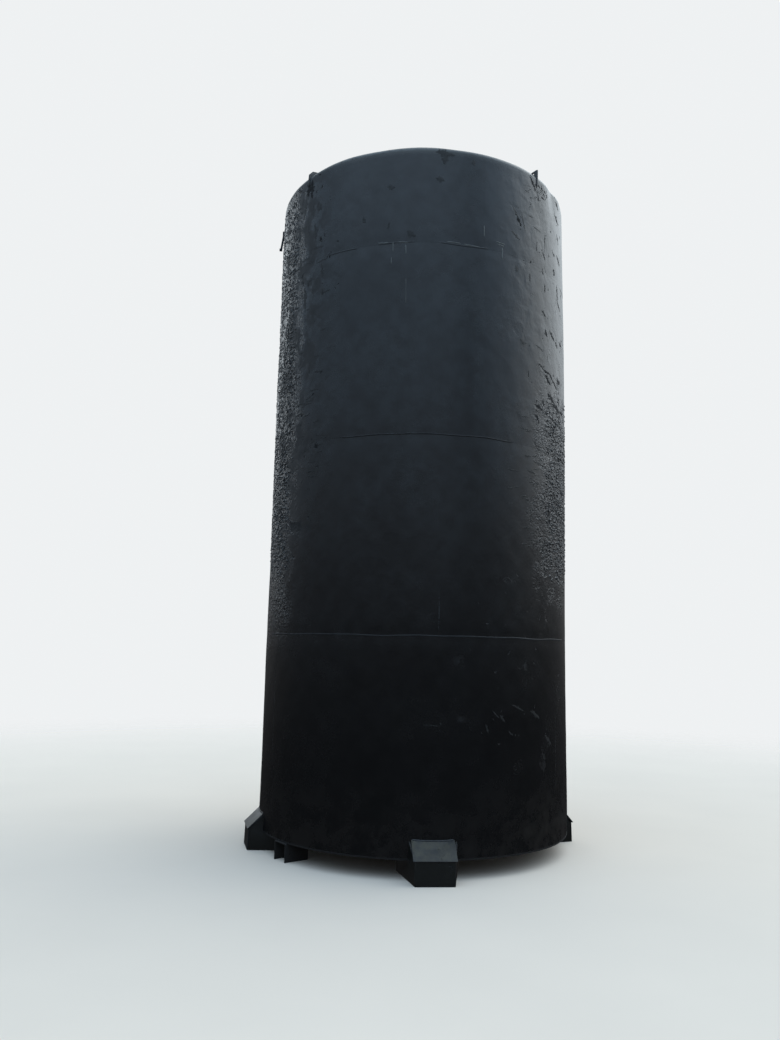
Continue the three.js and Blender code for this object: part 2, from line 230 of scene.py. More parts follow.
# %% Light dome and backdrop
DOME = (  # elevation in degrees, brightness
    (-90, 0.11), (-30, 0.09), (-18, 0.055), (-12, 0.026), (-8, 0.022), (-5, 0.035), (0, 0.085),
    (5, 0.165), (10, 0.345), (16, 0.48), (21, 0.555), (26, 0.69), (30, 0.95), (34, 1.14),
    (45, 1.24), (90, 1.45),
)
ROUND = (  # direction in degrees from the front, positive to the right, share of the brightness
    (-180, 1.50), (-167, 3.60), (-153, 3.60), (-138, 2.15), (-124, 1.06), (-110, 0.86),
    (-90, 0.86), (-60, 1.02), (-15, 1.09), (5, 1.14), (20, 1.15), (30, 0.94), (38, 0.76),
    (46, 0.88), (54, 1.08), (64, 1.30), (76, 1.58), (95, 2.45), (120, 2.55), (138, 2.45),
    (150, 1.85), (162, 1.50), (180, 1.40),
)
RAMP_TOP = 4.0  # the brightness that a ramp's highest value, one, stands for
ZENITH_TINT = (0.75, 1.0, 1.29, 1.0)
SIDE_TINT = (0.91, 1.0, 1.06, 1.0)
GROUND_TINT = (1.0, 1.0, 1.03, 1.0)
BACKDROP = (0.86, 0.88, 0.89, 1.0)


def dome_ramp(value, steps, full):
    """A colour ramp over a value from -full/2 to full/2. Its brightness is divided by the
    ramp's top, because a ramp holds no more than one and the sides of the dome are brighter."""
    ramp = value.tree.nodes.new("ShaderNodeValToRGB")
    feed(ramp.inputs[0], value / math.radians(full) + 0.5)
    while len(ramp.color_ramp.elements) < len(steps):
        ramp.color_ramp.elements.new(0.5)
    for stop, (degrees, brightness) in zip(ramp.color_ramp.elements, steps):
        stop.position = degrees / full + 0.5
        grey = brightness / RAMP_TOP
        stop.color = (grey, grey, grey, 1.0)
    return Value(ramp.outputs[0]) * RAMP_TOP


def fade_degrees(angle, start, end, low=0.0, high=1.0):
    """As fade, for an angle whose start and end are in degrees."""
    return fade(angle, math.radians(start), math.radians(end), low, high)


world = bpy.data.worlds.new("studio")
bpy.context.scene.world = world
world.use_nodes = True
sky = world.node_tree.nodes
sky.clear()
across, back, upward = parts_of(Value(sky.new("ShaderNodeTexCoord").outputs["Generated"]))
elevation = calc("ARCSINE", upward)
bearing = calc("ARCTAN2", across, back * -1.0)
# The sides differ most well above the horizon, and not at all below it or overhead.
gate = fade_degrees(elevation, 1, 16)
gate = gate * fade_degrees(elevation, 20, 36, 1.0, 0.78) * fade_degrees(elevation, 40, 75, 1.0, 0.2)
on_right = fade_degrees(bearing, 50, 110)
on_left = fade_degrees(bearing, -95, -150)
gate = gate * (1.0 - on_left * fade_degrees(elevation, 24, 31, 0.0, 0.85))
around = (dome_ramp(bearing, ROUND, 360) - 1.0) * gate + 1.0
# A darker bank stands high on the left, where the shoulder of the drum mirrors it.
bank = fade_degrees(elevation, 28.3, 32) * fade_degrees(elevation, 42, 70, 1.0, 0.0)
bank = bank * fade_degrees(bearing, -45, -104)
strength = dome_ramp(elevation, DOME, 180) * around * (1.0 - bank * 0.62)
tint = mix(most(on_right, on_left), ZENITH_TINT, SIDE_TINT)
tint = mix(fade_degrees(elevation, -6, 24), GROUND_TINT, tint)
dome = sky.new("ShaderNodeBackground")
feed(dome.inputs["Color"], tint)
feed(dome.inputs["Strength"], strength)
plain = sky.new("ShaderNodeBackground")
plain.inputs["Color"].default_value = BACKDROP
seen = sky.new("ShaderNodeLightPath").outputs["Is Camera Ray"]
chooser = sky.new("ShaderNodeMixShader")
for socket, source in zip(chooser.inputs, (seen, dome.outputs[0], plain.outputs[0])):
    feed(socket, source)
feed(sky.new("ShaderNodeOutputWorld").inputs["Surface"], chooser.outputs[0])
bpy.context.scene.view_settings.view_transform = "Standard"
print("dome with", len(DOME), "steps of brightness")

# %% [markdown]
# ## Floor
# A pale floor catches the soft shadow that sets the tank on the ground. It is a wide disc
# that fades out before the backdrop begins, so there is no horizon line from any side. The
# gloss of the paint doesn't see it: the lower wall mirrors the dark part of the dome instead.

# %% Floor
FLOOR_REACH = 16.0
FLOOR_FADE = (5.0, 13.0)
FLOOR_DARKER, FLOOR_LIGHTER = (0.70, 0.62, 0.53, 1.0), (0.76, 0.67, 0.57, 1.0)


def make_floor():
    tool = bmesh.new()
    bmesh.ops.create_circle(tool, cap_ends=True, radius=FLOOR_REACH, segments=96)
    mesh = bpy.data.meshes.new("floor")
    tool.to_mesh(mesh)
    tool.free()
    floor = bpy.data.objects.new("floor", mesh)
    bpy.context.scene.collection.objects.link(floor)
    finish, shader, place = new_finish("pale_floor")
    feed(shader.inputs["Base Color"], mix(noise(place, 0.9, 5.0), FLOOR_DARKER, FLOOR_LIGHTER))
    shader.inputs["Roughness"].default_value = 0.9
    shader.inputs["Specular IOR Level"].default_value = 0.1
    length = place.tree.nodes.new("ShaderNodeVectorMath")
    length.operation = "LENGTH"
    feed(length.inputs[0], place)
    feed(shader.inputs["Alpha"], fade(Value(length.outputs["Value"]), *FLOOR_FADE, 1.0, 0.0))
    mesh.materials.append(finish)
    floor.visible_glossy = False


make_floor()
print("floor disc of radius", FLOOR_REACH)

# %% [markdown]
# ## Shared effects of the paint
# Every part of the tank wears the same kind of paint, so its effects are node groups that each
# material uses with its own values. Bitumen goes on thick with a brush or roller and sets in lumps a
# few centimetres across. Where it was put on over rust or in the sun it blisters and drops off in
# small ragged pits. Rain draws soft upright bands, and dust splashes the foot of the wall. Whatever
# faces up is painted lighter, partly for the dust that settles there and partly as a painted
# highlight from the bright sky overhead.


# %% Group: the lumps of brushed paint
def build_lump_group():
    """Height in metres of coarse lumps and of the long sags of a thick coat, and a mask of the
    lumps' crests, which the shell paints lighter: partly paint worn by the weather, partly a painted
    highlight."""
    group, given, results = new_group(
        "paint_lumps",
        {"Lump height": 0.001, "Sag height": 0.001, "Lump size": 0.03},
        ("Height", "Crest"),
    )
    place = given["Position"]
    coarse = noise(place, 1.0 / given["Lump size"], 2.0, 0.55, 0.9)
    sag = noise(stretched(place, (1.0, 1.0, 0.8), (0.3, 0.2, 0.0)), 13.0, 2.0, 0.42, 0.3)
    height = (coarse - 0.5) * given["Lump height"] + (sag - 0.5) * given["Sag height"]
    feed(results["Height"], height * 2.0)
    feed(results["Crest"], fade(coarse, 0.54, 0.66))
    return group


# %% Group: peeled pits
def build_pit_group():
    """A mask that is one in small ragged pits and crooked cracks, more of them for a higher
    amount."""
    group, given, results = new_group("peeled_pits", {"Amount": 0.5, "Pit size": 0.04}, ("Mask",))
    place, amount = given["Position"], given["Amount"]
    scale = 1.0 / given["Pit size"]
    leaning = stretched(place, (1.0, 1.0, 0.60), (0.45, 0.35, 0.0))
    edge = 0.745 - amount * 0.25
    pits = fade(noise(leaning, scale, 3.0, 0.62, 0.8), edge, edge + 0.035)
    ridge = abs(noise(leaning, scale * 0.42, 3.0, 0.55, 1.2) - 0.5)
    crack = fade(ridge, amount * 0.040, 0.004, 0.0, 0.65)
    edge = 0.66 - amount * 0.16
    patch = fade(noise(place, scale * 0.16, 2.0), edge, edge + 0.06)
    feed(results["Mask"], most(pits, crack * patch) * fade(amount, 0.0, 0.08))
    return group


# %% Group: upright bands left by rain
def build_rain_group():
    group, given, results = new_group("rain_bands", {"Band width": 0.09}, ("Mask",))
    upright = stretched(given["Position"], (1.0, 1.0, 0.035))
    bands = noise(upright, 1.0 / given["Band width"], 3.0, 0.6)
    feed(results["Mask"], fade(bands, 0.32, 0.68))
    return group


# %% Group: dust and a painted highlight on what faces up
def build_dust_and_top_light_group():
    group, given, results = new_group("settled_dust_and_top_light", {"Up": 0.0, "Amount": 0.5}, ("Mask",))
    broken = fade(noise(given["Position"], 9.0, 6.0, 0.65), 0.30, 0.75)
    feed(results["Mask"], fade(given["Up"], 0.25, 0.95) * broken * given["Amount"])
    return group


lump_group = build_lump_group()
pit_group = build_pit_group()
rain_group = build_rain_group()
dust_and_top_light_group = build_dust_and_top_light_group()
print("node groups:", [group.name for group in bpy.data.node_groups])

# %% [markdown]
# ## The paint as a material
# One function makes each finish from the same effects. The colour is nearly black, a little blue
# where the weather has chalked it, and lighter on faces that look up: partly grey-brown dust, partly
# a painted highlight of the sky. A finish can be told how high its lumps are, how matt it is, and
# how much dust and painted highlight it has on top.

# %% Paint maker
PIT_FLOOR = (0.0022, 0.0022, 0.0024, 1.0)


def coat(shader, colour, roughness, height):
    """Gives a shader its colour, its roughness, and its relief from a height in metres."""
    bump = height.tree.nodes.new("ShaderNodeBump")
    bump.inputs["Strength"].default_value = 1.0
    bump.inputs["Distance"].default_value = 1.0
    feed(bump.inputs["Height"], height)
    feed(shader.inputs["Base Color"], colour)
    feed(shader.inputs["Roughness"], roughness)
    feed(shader.inputs["Normal"], bump.outputs["Normal"])
    shader.inputs["Specular IOR Level"].default_value = 0.5
    shader.inputs["IOR"].default_value = 1.5


def paint(name, **values):
    """A bitumen paint. Values that aren't given are those of the usual coat."""
    look = {
        "black": (0.0045, 0.0050, 0.0058, 1.0),
        "chalk": (0.0120, 0.0145, 0.0175, 1.0),
        "dust": (0.085, 0.085, 0.078, 1.0),
        "roughness": 0.34,
        "lumps": 0.0006,
        "sag": 0.0004,
        "lump_size": 0.030,
        "pits": 0.0,
        "dusty": 0.3,
    }
    look.update(values)
    finish, shader, place = new_finish(name)
    normal = Value(place.tree.nodes.new("ShaderNodeNewGeometry").outputs["Normal"])
    cloud = noise(place, 1.7, 4.0, 0.6)
    chalky = (use_group(rain_group, place)["Mask"] + cloud) * 0.5
    # Faces that look up are made lighter: partly settled dust, partly a painted highlight of the
    # sky.
    dust = use_group(dust_and_top_light_group, place, up=parts_of(normal)[2], amount=look["dusty"])["Mask"]
    pits = use_group(pit_group, place, amount=look["pits"])["Mask"]
    colour = mix(pits, mix(chalky, look["black"], look["chalk"]), PIT_FLOOR)
    colour = mix(dust, colour, look["dust"])
    matt = cloud * 0.10 + (look["roughness"] - 0.05) + pits * 0.5 + dust * 0.4
    lumps = use_group(lump_group, place, lump_height=look["lumps"], sag_height=look["sag"],
                      lump_size=look["lump_size"])
    coat(shader, colour, matt, lumps["Height"] - pits * 0.0012)
    return finish


def one_shade(name, shade, lumps, lump_size, **values):
    """The paint of a bead or a mark: a single shade, and no sags."""
    return paint(name, black=shade, chalk=shade, lumps=lumps, sag=0.0, lump_size=lump_size, **values)


print("paint maker ready")

# %% [markdown]
# ## The shell's paint
# The wall isn't painted evenly all round. The left flank and the lower right are rough and
# speckled, the middle is smooth, and high on the right the coat is thick and shiny with a few
# ragged pits. Each zone is a soft window over azimuth and height. The azimuth comes from the
# position itself, so there is no unwrapping and no seam where the picture would meet.

# %% Zones on the wall
SHELL_RADIUS = 1.25


def wall_place(place):
    """The azimuth in degrees, nought at the front and positive to the right, and the height."""
    x, y, z = parts_of(place)
    return calc("ARCTAN2", x, y * -1.0) * (180 / math.pi), z


def window(value, low, high, soft):
    """One between low and high, fading out over the distance soft."""
    rising = fade(value, low - soft / 2, low + soft / 2)
    return rising * fade(value, high - soft / 2, high + soft / 2, 1.0, 0.0)


def zone(azimuth, height, azimuths, heights, soft_azimuth, soft_height):
    """One on the wall between two azimuths and two heights, with soft edges."""
    return window(azimuth, *azimuths, soft_azimuth) * window(height, *heights, soft_height)


def rough_flanks(azimuth, height, torn_azimuth, torn_height, cloud):
    """Rough, speckled paint: the left flank, the lower right, and patches round the back. Out
    of the photograph's sight the edges of the two flanks wander with the broad cloud."""
    broad, away = cloud - 0.5, abs(azimuth)
    swell = fade(away, 66.0, 92.0) * broad * 5.0
    adrift = broad * 170.0 + azimuth
    left = zone(torn_azimuth, height + swell, (-240.0, -53.0), (1.75, 5.80), 12.0, 0.8)
    left = left * fade(adrift, -166.0, -134.0) * fade(azimuth, -178.0, -160.0)
    right = zone(torn_azimuth, torn_height + swell, (50.0, 240.0), (2.15, 3.60), 16.0, 0.7)
    right = right * fade(adrift, 150.0, 104.0)
    far_right = zone(adrift, torn_height, (92.0, 156.0), (1.6, 4.3), 44.0, 1.6)
    behind = fade(away, 120.0, 140.0) * fade(cloud, 0.36, 0.70, 0.0, 0.45)
    return most(left, right, far_right * 0.7, behind)


# %% Shell paint
SHELL_BLACK = (0.0036, 0.0038, 0.0042, 1.0)
SHELL_CHALK = (0.0092, 0.0112, 0.0130, 1.0)
PIT_BLACK = (0.0020, 0.0020, 0.0022, 1.0)
# The crest grey is partly worn paint, partly a painted highlight.
CREST_WEAR_AND_HIGHLIGHT_GREY = (0.046, 0.050, 0.056, 1.0)
DULL_GREY = (0.0104, 0.0099, 0.0097, 1.0)
# The grey of the wall's top edge is a painted highlight.
EDGE_HIGHLIGHT_GREY = (0.0520, 0.0560, 0.0540, 1.0)
SPLASH_BROWN = (0.015, 0.0125, 0.0105, 1.0)


def shell_paint():
    finish, shader, place = new_finish("shell_paint")
    azimuth, height = wall_place(place)
    cloud = noise(place, 1.6, 5.0, 0.6)
    ragged = noise(place, 6.0, 5.0, 0.68)
    off = ragged - 0.5
    torn_azimuth, torn_height = off * 34.0 + azimuth, off * 2.4 + height
    rough = rough_flanks(azimuth, height, torn_azimuth, torn_height, cloud)
    # Sparse pits and cracks on the shiny upper right, and beside the rough left flank.
    upper_right = zone(torn_azimuth, height, (34.0, 135.0), (3.3, 5.40), 14.0, 0.5)
    beside = zone(torn_azimuth, height, (-66.0, -34.0), (2.6, 5.40), 14.0, 0.6)
    low_right = zone(torn_azimuth, torn_height, (22.0, 80.0), (0.85, 2.3), 16.0, 0.6)
    sparse = most(upper_right * 0.30, beside * 0.36, low_right * 0.24)
    flakes = use_group(pit_group, place, amount=sparse, pit_size=0.052)["Mask"]
    speckle = use_group(pit_group, place, amount=rough * 0.84, pit_size=0.026)["Mask"]
    pits = most(flakes, speckle)
    dull = fade(ragged, 0.46, 0.58) * beside

    thick = most(upper_right, beside) * fade(cloud, 0.38, 0.60, 0.25, 1.0)
    lumps = use_group(lump_group, place, lump_height=rough * 0.0100 + 0.00012,
                      sag_height=thick * 0.0019 + 0.0006, lump_size=0.022)

    high = fade(height, 0.6, 5.2)
    chalky = (use_group(rain_group, place)["Mask"] * 0.35 + fade(cloud, 0.30, 0.70)) * high
    chalky = chalky * fade(noise(place, 9.0, 4.0, 0.62), 0.36, 0.64, 0.15, 1.80)
    # A painted highlight: a lighter band along the top edge of the wall, where the sky catches it,
    # kept weak on the left, where the dome is darker.
    lit_side_share = 1.0 - window(azimuth, -110.0, -32.0, 26.0) * 0.85
    top_edge_highlight = fade(height, 5.325, 5.366, 0.0, 0.8) * lit_side_share
    splash = fade(height, 0.75, 0.13) * fade(ragged, 0.38, 0.62)
    splash = splash * fade(azimuth, 20.0, 62.0, 0.25, 0.60)
    colour = mix(chalky, SHELL_BLACK, SHELL_CHALK)
    for share, shade in (
        (dull * 0.75, DULL_GREY),
        # Lighter crests: partly worn paint, partly a painted highlight of the sky on the lumps.
        (lumps["Crest"] * rough * high, CREST_WEAR_AND_HIGHLIGHT_GREY),
        (top_edge_highlight, EDGE_HIGHLIGHT_GREY),
        (pits, PIT_BLACK),
        (splash, SPLASH_BROWN),
    ):
        colour = mix(share, colour, shade)
    matt = cloud * 0.14 + 0.18 + off * 0.16 + pits * 0.62 + dull * 0.30 + splash * 0.20
    coat(shader, colour, matt, lumps["Height"] - pits * 0.0016)
    return finish


# %% [markdown]
# ## All the finishes
# The beads, marks and smaller parts share the paint maker. Each finish belongs to one slot of
# the frame's record, so the two are kept together.

# %% Finishes
WORN = (0.075, 0.085, 0.082, 1.0)  # rubbed down to the old primer
FAINT = (0.034, 0.038, 0.037, 1.0)  # the same, with a little black left on it
SMEAR = (0.0030, 0.0037, 0.0034, 1.0)
SCUFF = (0.0046, 0.0054, 0.0050, 1.0)
FINISHES = {  # name: material, slot of the record
    "shell": (shell_paint(), "shell_black"),
    "scab": (one_shade("scab_paint", PIT_BLACK, 0.002, 0.008, roughness=0.85, dusty=0.0),
             "shell_black"),
    "smear": (one_shade("smear_paint", SMEAR, 0.0012, 0.010, roughness=0.55, dusty=0.0),
              "shell_black"),
    "scuff": (one_shade("scuff_paint", SCUFF, 0.001, 0.008, roughness=0.60, dusty=0.0),
              "shell_black"),
    # The blisters' lighter paint and the dust on their tops are partly dust, partly a painted
    # highlight where they catch the sky.
    "crust": (paint("crust_dust_and_highlight", black=(0.008, 0.009, 0.010, 1.0),
                    chalk=(0.022, 0.024, 0.026, 1.0), lumps=0.0010, sag=0.0, lump_size=0.009,
                    roughness=0.28, dusty=0.8, dust=(0.130, 0.132, 0.134, 1.0)), "shell_black"),
    "weld": (paint("weld_paint", lumps=0.0003, sag=0.0, lump_size=0.012, roughness=0.42,
                   dusty=0.1), "weld_black"),
    "worn": (one_shade("worn_paint", WORN, 0.0003, 0.012), "weld_black"),
    "faint": (one_shade("faint_paint", FAINT, 0.0003, 0.012), "weld_black"),
    # The rim is a much lighter grey copy of the paint, with heavy dust on top: partly chalk and
    # dust, partly a painted highlight of the sky on the rolled edge.
    "rim": (paint("rim_paint_dust_and_highlight", black=(0.030, 0.032, 0.031, 1.0),
                  chalk=(0.084, 0.090, 0.086, 1.0), lumps=0.0005, pits=0.4, roughness=0.24,
                  dusty=1.0, dust=(0.150, 0.154, 0.142, 1.0)), "rim_grey"),
    "roof": (paint("roof_paint", lumps=0.0010, pits=0.35, dusty=0.6), "roof_grey"),
    "bar": (paint("bar_paint", lumps=0.0002, sag=0.0, lump_size=0.012, roughness=0.55,
                  dusty=0.1), "bar_black"),
    "lug": (paint("lug_paint", black=(0.020, 0.020, 0.018, 1.0),
                  chalk=(0.052, 0.052, 0.048, 1.0), lumps=0.0010, pits=0.45, roughness=0.50),
            "rim_grey"),
    "leg_side": (paint("leg_side_paint", black=(0.0030, 0.0036, 0.0030, 1.0),
                       chalk=(0.0064, 0.0070, 0.0052, 1.0), pits=0.3, roughness=0.40,
                       dust=(0.080, 0.070, 0.050, 1.0)), "leg_black"),
    # The sloping leg tops are lighter than the leg sides through their dust: partly dust, partly a
    # painted highlight of the sky on faces that look up.
    "leg_top": (paint("leg_top_dust_and_highlight", pits=0.25, roughness=0.42, dusty=0.60,
                      dust=(0.098, 0.092, 0.062, 1.0)), "leg_top_grey"),
    # The paint under the tank is darker and browner than the wall's: partly grime, partly painted
    # shade under the tank.
    "underside": (paint("underside_grime_and_shade", chalk=(0.007, 0.006, 0.005, 1.0), pits=0.4,
                        roughness=0.70, dusty=0.0), "underside_black"),
}
print("finishes:", [finish.name for finish, slot in FINISHES.values()])

# %% [markdown]
# ## Small tools for meshes
# Every piece is made from lists of corners and faces, then given its finish and its place on
# the frame. `Pile` gathers several closed forms, such as many weld beads, into one mesh.


# %% Mesh helpers
def place_piece(name, mesh, finish, replaced=(), sharp=32.0):
    """Finishes a mesh whose corners are already in the tank's own frame."""
    tool = bmesh.new()
    tool.from_mesh(mesh)
    bmesh.ops.recalc_face_normals(tool, faces=tool.faces)
    tool.to_mesh(mesh)
    tool.free()
    mesh.polygons.foreach_set("use_smooth", [True] * len(mesh.polygons))
    mesh.set_sharp_from_angle(angle=math.radians(sharp))
    material, slot = FINISHES[finish]
    mesh.materials.append(material)
    piece = bpy.data.objects.new(name, mesh)
    bpy.context.scene.collection.objects.link(piece)
    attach(piece, "root")
    if replaced:
        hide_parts(*replaced)
    return piece


class Pile:
    """Closed forms that go into one mesh."""

    def __init__(self):
        self.corners = []
        self.faces = []
        self.count = 0

    def add(self, corners, faces):
        self.corners.append(np.asarray(corners, dtype=float))
        self.faces += [tuple(int(i) + self.count for i in face) for face in faces]
        self.count += len(self.corners[-1])

    def place(self, name, finish, replaced=(), sharp=32.0):
        mesh = bpy.data.meshes.new(name)
        mesh.from_pydata(np.concatenate(self.corners).tolist(), [], self.faces)
        return place_piece(name, mesh, finish, replaced, sharp)

    def place_beads(self, name, finish="weld", replaced=()):
        """Beads are rounded, so they are smooth over all but their sharpest edges."""
        return self.place(name, finish, replaced, sharp=80.0)


def on_wall(azimuth, radius, height):
    """Points from azimuths in degrees, radii and heights, as rows of x, y, z."""
    azimuth, radius, height = np.broadcast_arrays(azimuth, radius, height)
    angle = np.radians(azimuth)
    return np.stack([radius * np.sin(angle), -radius * np.cos(angle), height], axis=-1)


def grid_faces(rows, columns, closed=False, start=0):
    """Four-sided faces over a grid of corners, rows by columns. closed joins the last column
    to the first."""
    row, column = np.meshgrid(np.arange(rows - 1), np.arange(columns - (0 if closed else 1)),
                              indexing="ij")
    after = (column + 1) % columns
    quads = np.stack([row * columns + column, row * columns + after,
                      (row + 1) * columns + after, (row + 1) * columns + column], axis=-1)
    return (quads.reshape(-1, 4) + start).tolist()


def tube_faces(rows, columns):
    """Faces over a grid that is closed both ways, so its last row meets its first."""
    last = (rows - 1) * columns
    faces = grid_faces(rows, columns, closed=True)
    return faces + [
        [last + i, last + (i + 1) % columns, (i + 1) % columns, i] for i in range(columns)
    ]


def rod_faces(rows, columns):
    """Faces over a grid that is closed one way, with a flat cap on its first and last row."""
    last = (rows - 1) * columns
    caps = [list(range(columns)), [last + i for i in range(columns)][::-1]]
    return grid_faces(rows, columns, closed=True) + caps


def fan_faces(middle, first, columns):
    """Triangles that close the last row of a grid to one more corner."""
    return [[first + i, first + (i + 1) % columns, middle] for i in range(columns)]


def pointed_faces(rows, columns):
    """Faces over a grid that is closed one way, with one more corner that ends the first row
    and another that ends the last."""
    total = rows * columns
    under = [face[::-1] for face in fan_faces(total, 0, columns)]
    over = fan_faces(total + 1, total - columns, columns)
    return grid_faces(rows, columns, closed=True) + under + over


def sheet_faces(rows, columns):
    """Faces of a thin sheet: two layers of a grid of corners, and the edge that joins them."""
    count = rows * columns
    faces = grid_faces(rows, columns)
    faces += [face[::-1] for face in grid_faces(rows, columns, start=count)]
    border = list(range(columns)) + [row * columns + columns - 1 for row in range(1, rows)]
    border += [(rows - 1) * columns + i for i in range(columns - 2, -1, -1)]
    border += [row * columns for row in range(rows - 2, 0, -1)]
    for here, after in zip(border, border[1:] + border[:1]):
        faces.append([here, after, after + count, here + count])
    return faces


def turned(azimuth):
    """Moves a form built with its outward direction along +X to an azimuth on the tank."""
    return Matrix.Rotation(math.radians(azimuth - 90), 4, "Z")


print("mesh helpers ready")

# %% [markdown]
# ## How far the wall is from a true cylinder
# Rolled plate keeps long shallow waves, a weld pulls the wall in as it cools, and years of
# handling leave bulges and one flat dent on the right shoulder. All pieces that touch the
# wall ask the same function how far it stands out, so beads and plates always meet.

# %% Waves, seams and dents
PLATE = 0.006
FLOOR_UNDER, FLOOR_TOP = 0.134, 0.142
SEAMS = (1.649, 3.114, 4.610)
SHELL_TOP = 5.362
COURSE_START = (-60.0, 7.5, -7.5, 22.5)  # azimuth of an upright seam in each course
SEAM_GAP = 0.0004
COURSE_EDGES = (FLOOR_TOP, *SEAMS, SHELL_TOP)
SEAM_PULL, SEAM_REACH = 0.0010, 0.05  # how far a girth weld pulls the wall in, and how widely

chance = np.random.default_rng(20)
LONG_WAVES = [
    (around, chance.uniform(-4, 4), chance.uniform(0, 2 * math.pi), 0.0021 / around**0.6)
    for around in (2, 3, 4, 5, 6, 7, 8, 9, 11, 13)
]
SHORT_WAVES = [
    (around, chance.uniform(-30, 30), chance.uniform(0, 2 * math.pi), 0.00016)
    for around in (17, 21, 24, 29, 33, 38, 42, 47)
]
DENTS = (  # azimuth, height, spread in degrees, spread in metres, how far out
    (-86, 4.9, 16, 0.42, 0.005),
    (88, 3.6, 15, 1.0, 0.011),
    (59.5, 5.44, 4.0, 0.20, -0.018),
    (67.5, 5.38, 3.0, 0.08, 0.004),
    (150, 4.2, 12, 0.30, -0.006),
    (-140, 2.4, 10, 0.35, -0.005),
    (24, 2.2, 14, 0.40, 0.002),
    (-30, 3.9, 12, 0.5, -0.002),
)


def around_from(azimuth, middle):
    return (np.asarray(azimuth) - middle + 180) % 360 - 180


def hump(distance, spread):
    return np.exp(-((distance / spread) ** 2))


def wall_out(azimuth, height):
    """How far the outside of the wall stands from the true cylinder, in metres."""
    azimuth, height = np.broadcast_arrays(np.asarray(azimuth, float), np.asarray(height, float))
    angle = np.radians(azimuth)
    out = np.zeros(angle.shape)
    for around, upwards, phase, size in LONG_WAVES + SHORT_WAVES:
        out += size * np.cos(around * angle + upwards * height + phase)
    for seam in SEAMS:
        out -= SEAM_PULL * hump(height - seam, SEAM_REACH)
    for course, start in enumerate(COURSE_START):
        inside = (height >= COURSE_EDGES[course]) & (height <= COURSE_EDGES[course + 1])
        for third in range(3):
            away = around_from(azimuth, start + third * 120)
            out += np.where(inside, 0.0005 * hump(away, 3.0), 0.0)
    for middle, level, spread, tall, size in DENTS:
        out += size * hump(around_from(azimuth, middle), spread) * hump(height - level, tall)
    return out * np.clip((height - FLOOR_UNDER) / 0.12, 0, 1)


sample = 1000 * wall_out(np.arange(-180, 180, 1.0), 3.0)
print("wall at 3 m stands", round(sample.min(), 1), "to", round(sample.max(), 1), "mm")

# %% [markdown]
# ## The twelve rolled plates
# Each course is three plates. A plate could be a thin curved box, but then light would run
# over it as over new pipe, so its outside is a close grid pushed in and out by the function
# above. The inside is never seen, and needs only tall strips. The side edges close the plate.

# %% Rolled plates
CELL = 1.0  # degrees between columns, about 22 mm on the wall
ROW = 0.020
PLATE_END_GAP = 0.007  # degrees that a plate stops short of its upright seam


def rolled_plate(course, third):
    start = COURSE_START[course] + third * 120
    bottom = FLOOR_TOP if course == 0 else SEAMS[course - 1] + SEAM_GAP
    top = SHELL_TOP if course == 3 else SEAMS[course] - SEAM_GAP
    azimuths = np.linspace(start, start + 120, int(120 / CELL) + 1)
    azimuths[[0, -1]] += (PLATE_END_GAP, -PLATE_END_GAP)
    heights = np.linspace(bottom, top, round((top - bottom) / ROW) + 1)
    columns, rows = len(azimuths), len(heights)
    grid_azimuth, grid_height = np.meshgrid(azimuths, heights)
    outside = on_wall(grid_azimuth, SHELL_RADIUS + wall_out(grid_azimuth, grid_height), grid_height)
    inside = [
        on_wall(azimuths, SHELL_RADIUS - PLATE + wall_out(azimuths, level), level)
        for level in (bottom, top)
    ]
    corners = np.concatenate([outside.reshape(-1, 3), *inside])
    low, high, last = rows * columns, rows * columns + columns, (rows - 1) * columns
    faces = grid_faces(rows, columns)
    for near, far in ((high, low), (low, 0), (last, high)):
        faces += [[near + i, near + i + 1, far + i + 1, far + i] for i in range(columns - 1)]
    left_edge = [row * columns for row in range(rows)]
    right_edge = [row * columns + columns - 1 for row in range(rows)]
    faces.append([low, *left_edge, high][::-1])
    faces.append([low + columns - 1, *right_edge, high + columns - 1])
    pile = Pile()
    pile.add(corners, faces)
    name = f"rolled_plate_{course + 1}_{third + 1}"
    return pile.place(name, "shell", [f"course_{course + 1}_plate_{third + 1}"])


for course in range(4):
    for third in range(3):
        plate = rolled_plate(course, third)
print("rolled plates:", 12, "with", len(plate.data.polygons), "faces in the last")

# %% [markdown]
# ## Weld beads
# A weld by hand is a low, uneven rope of metal: a small rounded ridge with ripples along it.
# Here it is one section swept along a path, with its height and width wandering. Under the
# thick paint most of it is lost, so only some stretches of each seam stand proud.


# %% Bead maker
def unit(vectors):
    return vectors / np.linalg.norm(vectors, axis=-1, keepdims=True)


def ripple(length, pitch, seed):
    """Uneven ripples along a length: nought to one, repeatable."""
    source = np.random.default_rng(seed)
    total = 0.5 * np.ones(len(length))
    for share in (0.31, 0.53, 1.0, 1.9):
        total += 0.11 * np.cos(2 * math.pi * length * share / pitch + source.uniform(0, 6.28))
    return total


RIPPLE_PITCH = 0.011
BEAD_TAPER = 0.012  # length over which an open bead runs out at its ends
BEAD_ROOT = 0.36  # half the width of a bead's hidden root, as a share of its width
BEAD_SEAT = 0.0003  # how deep a bead's edges lie in the wall


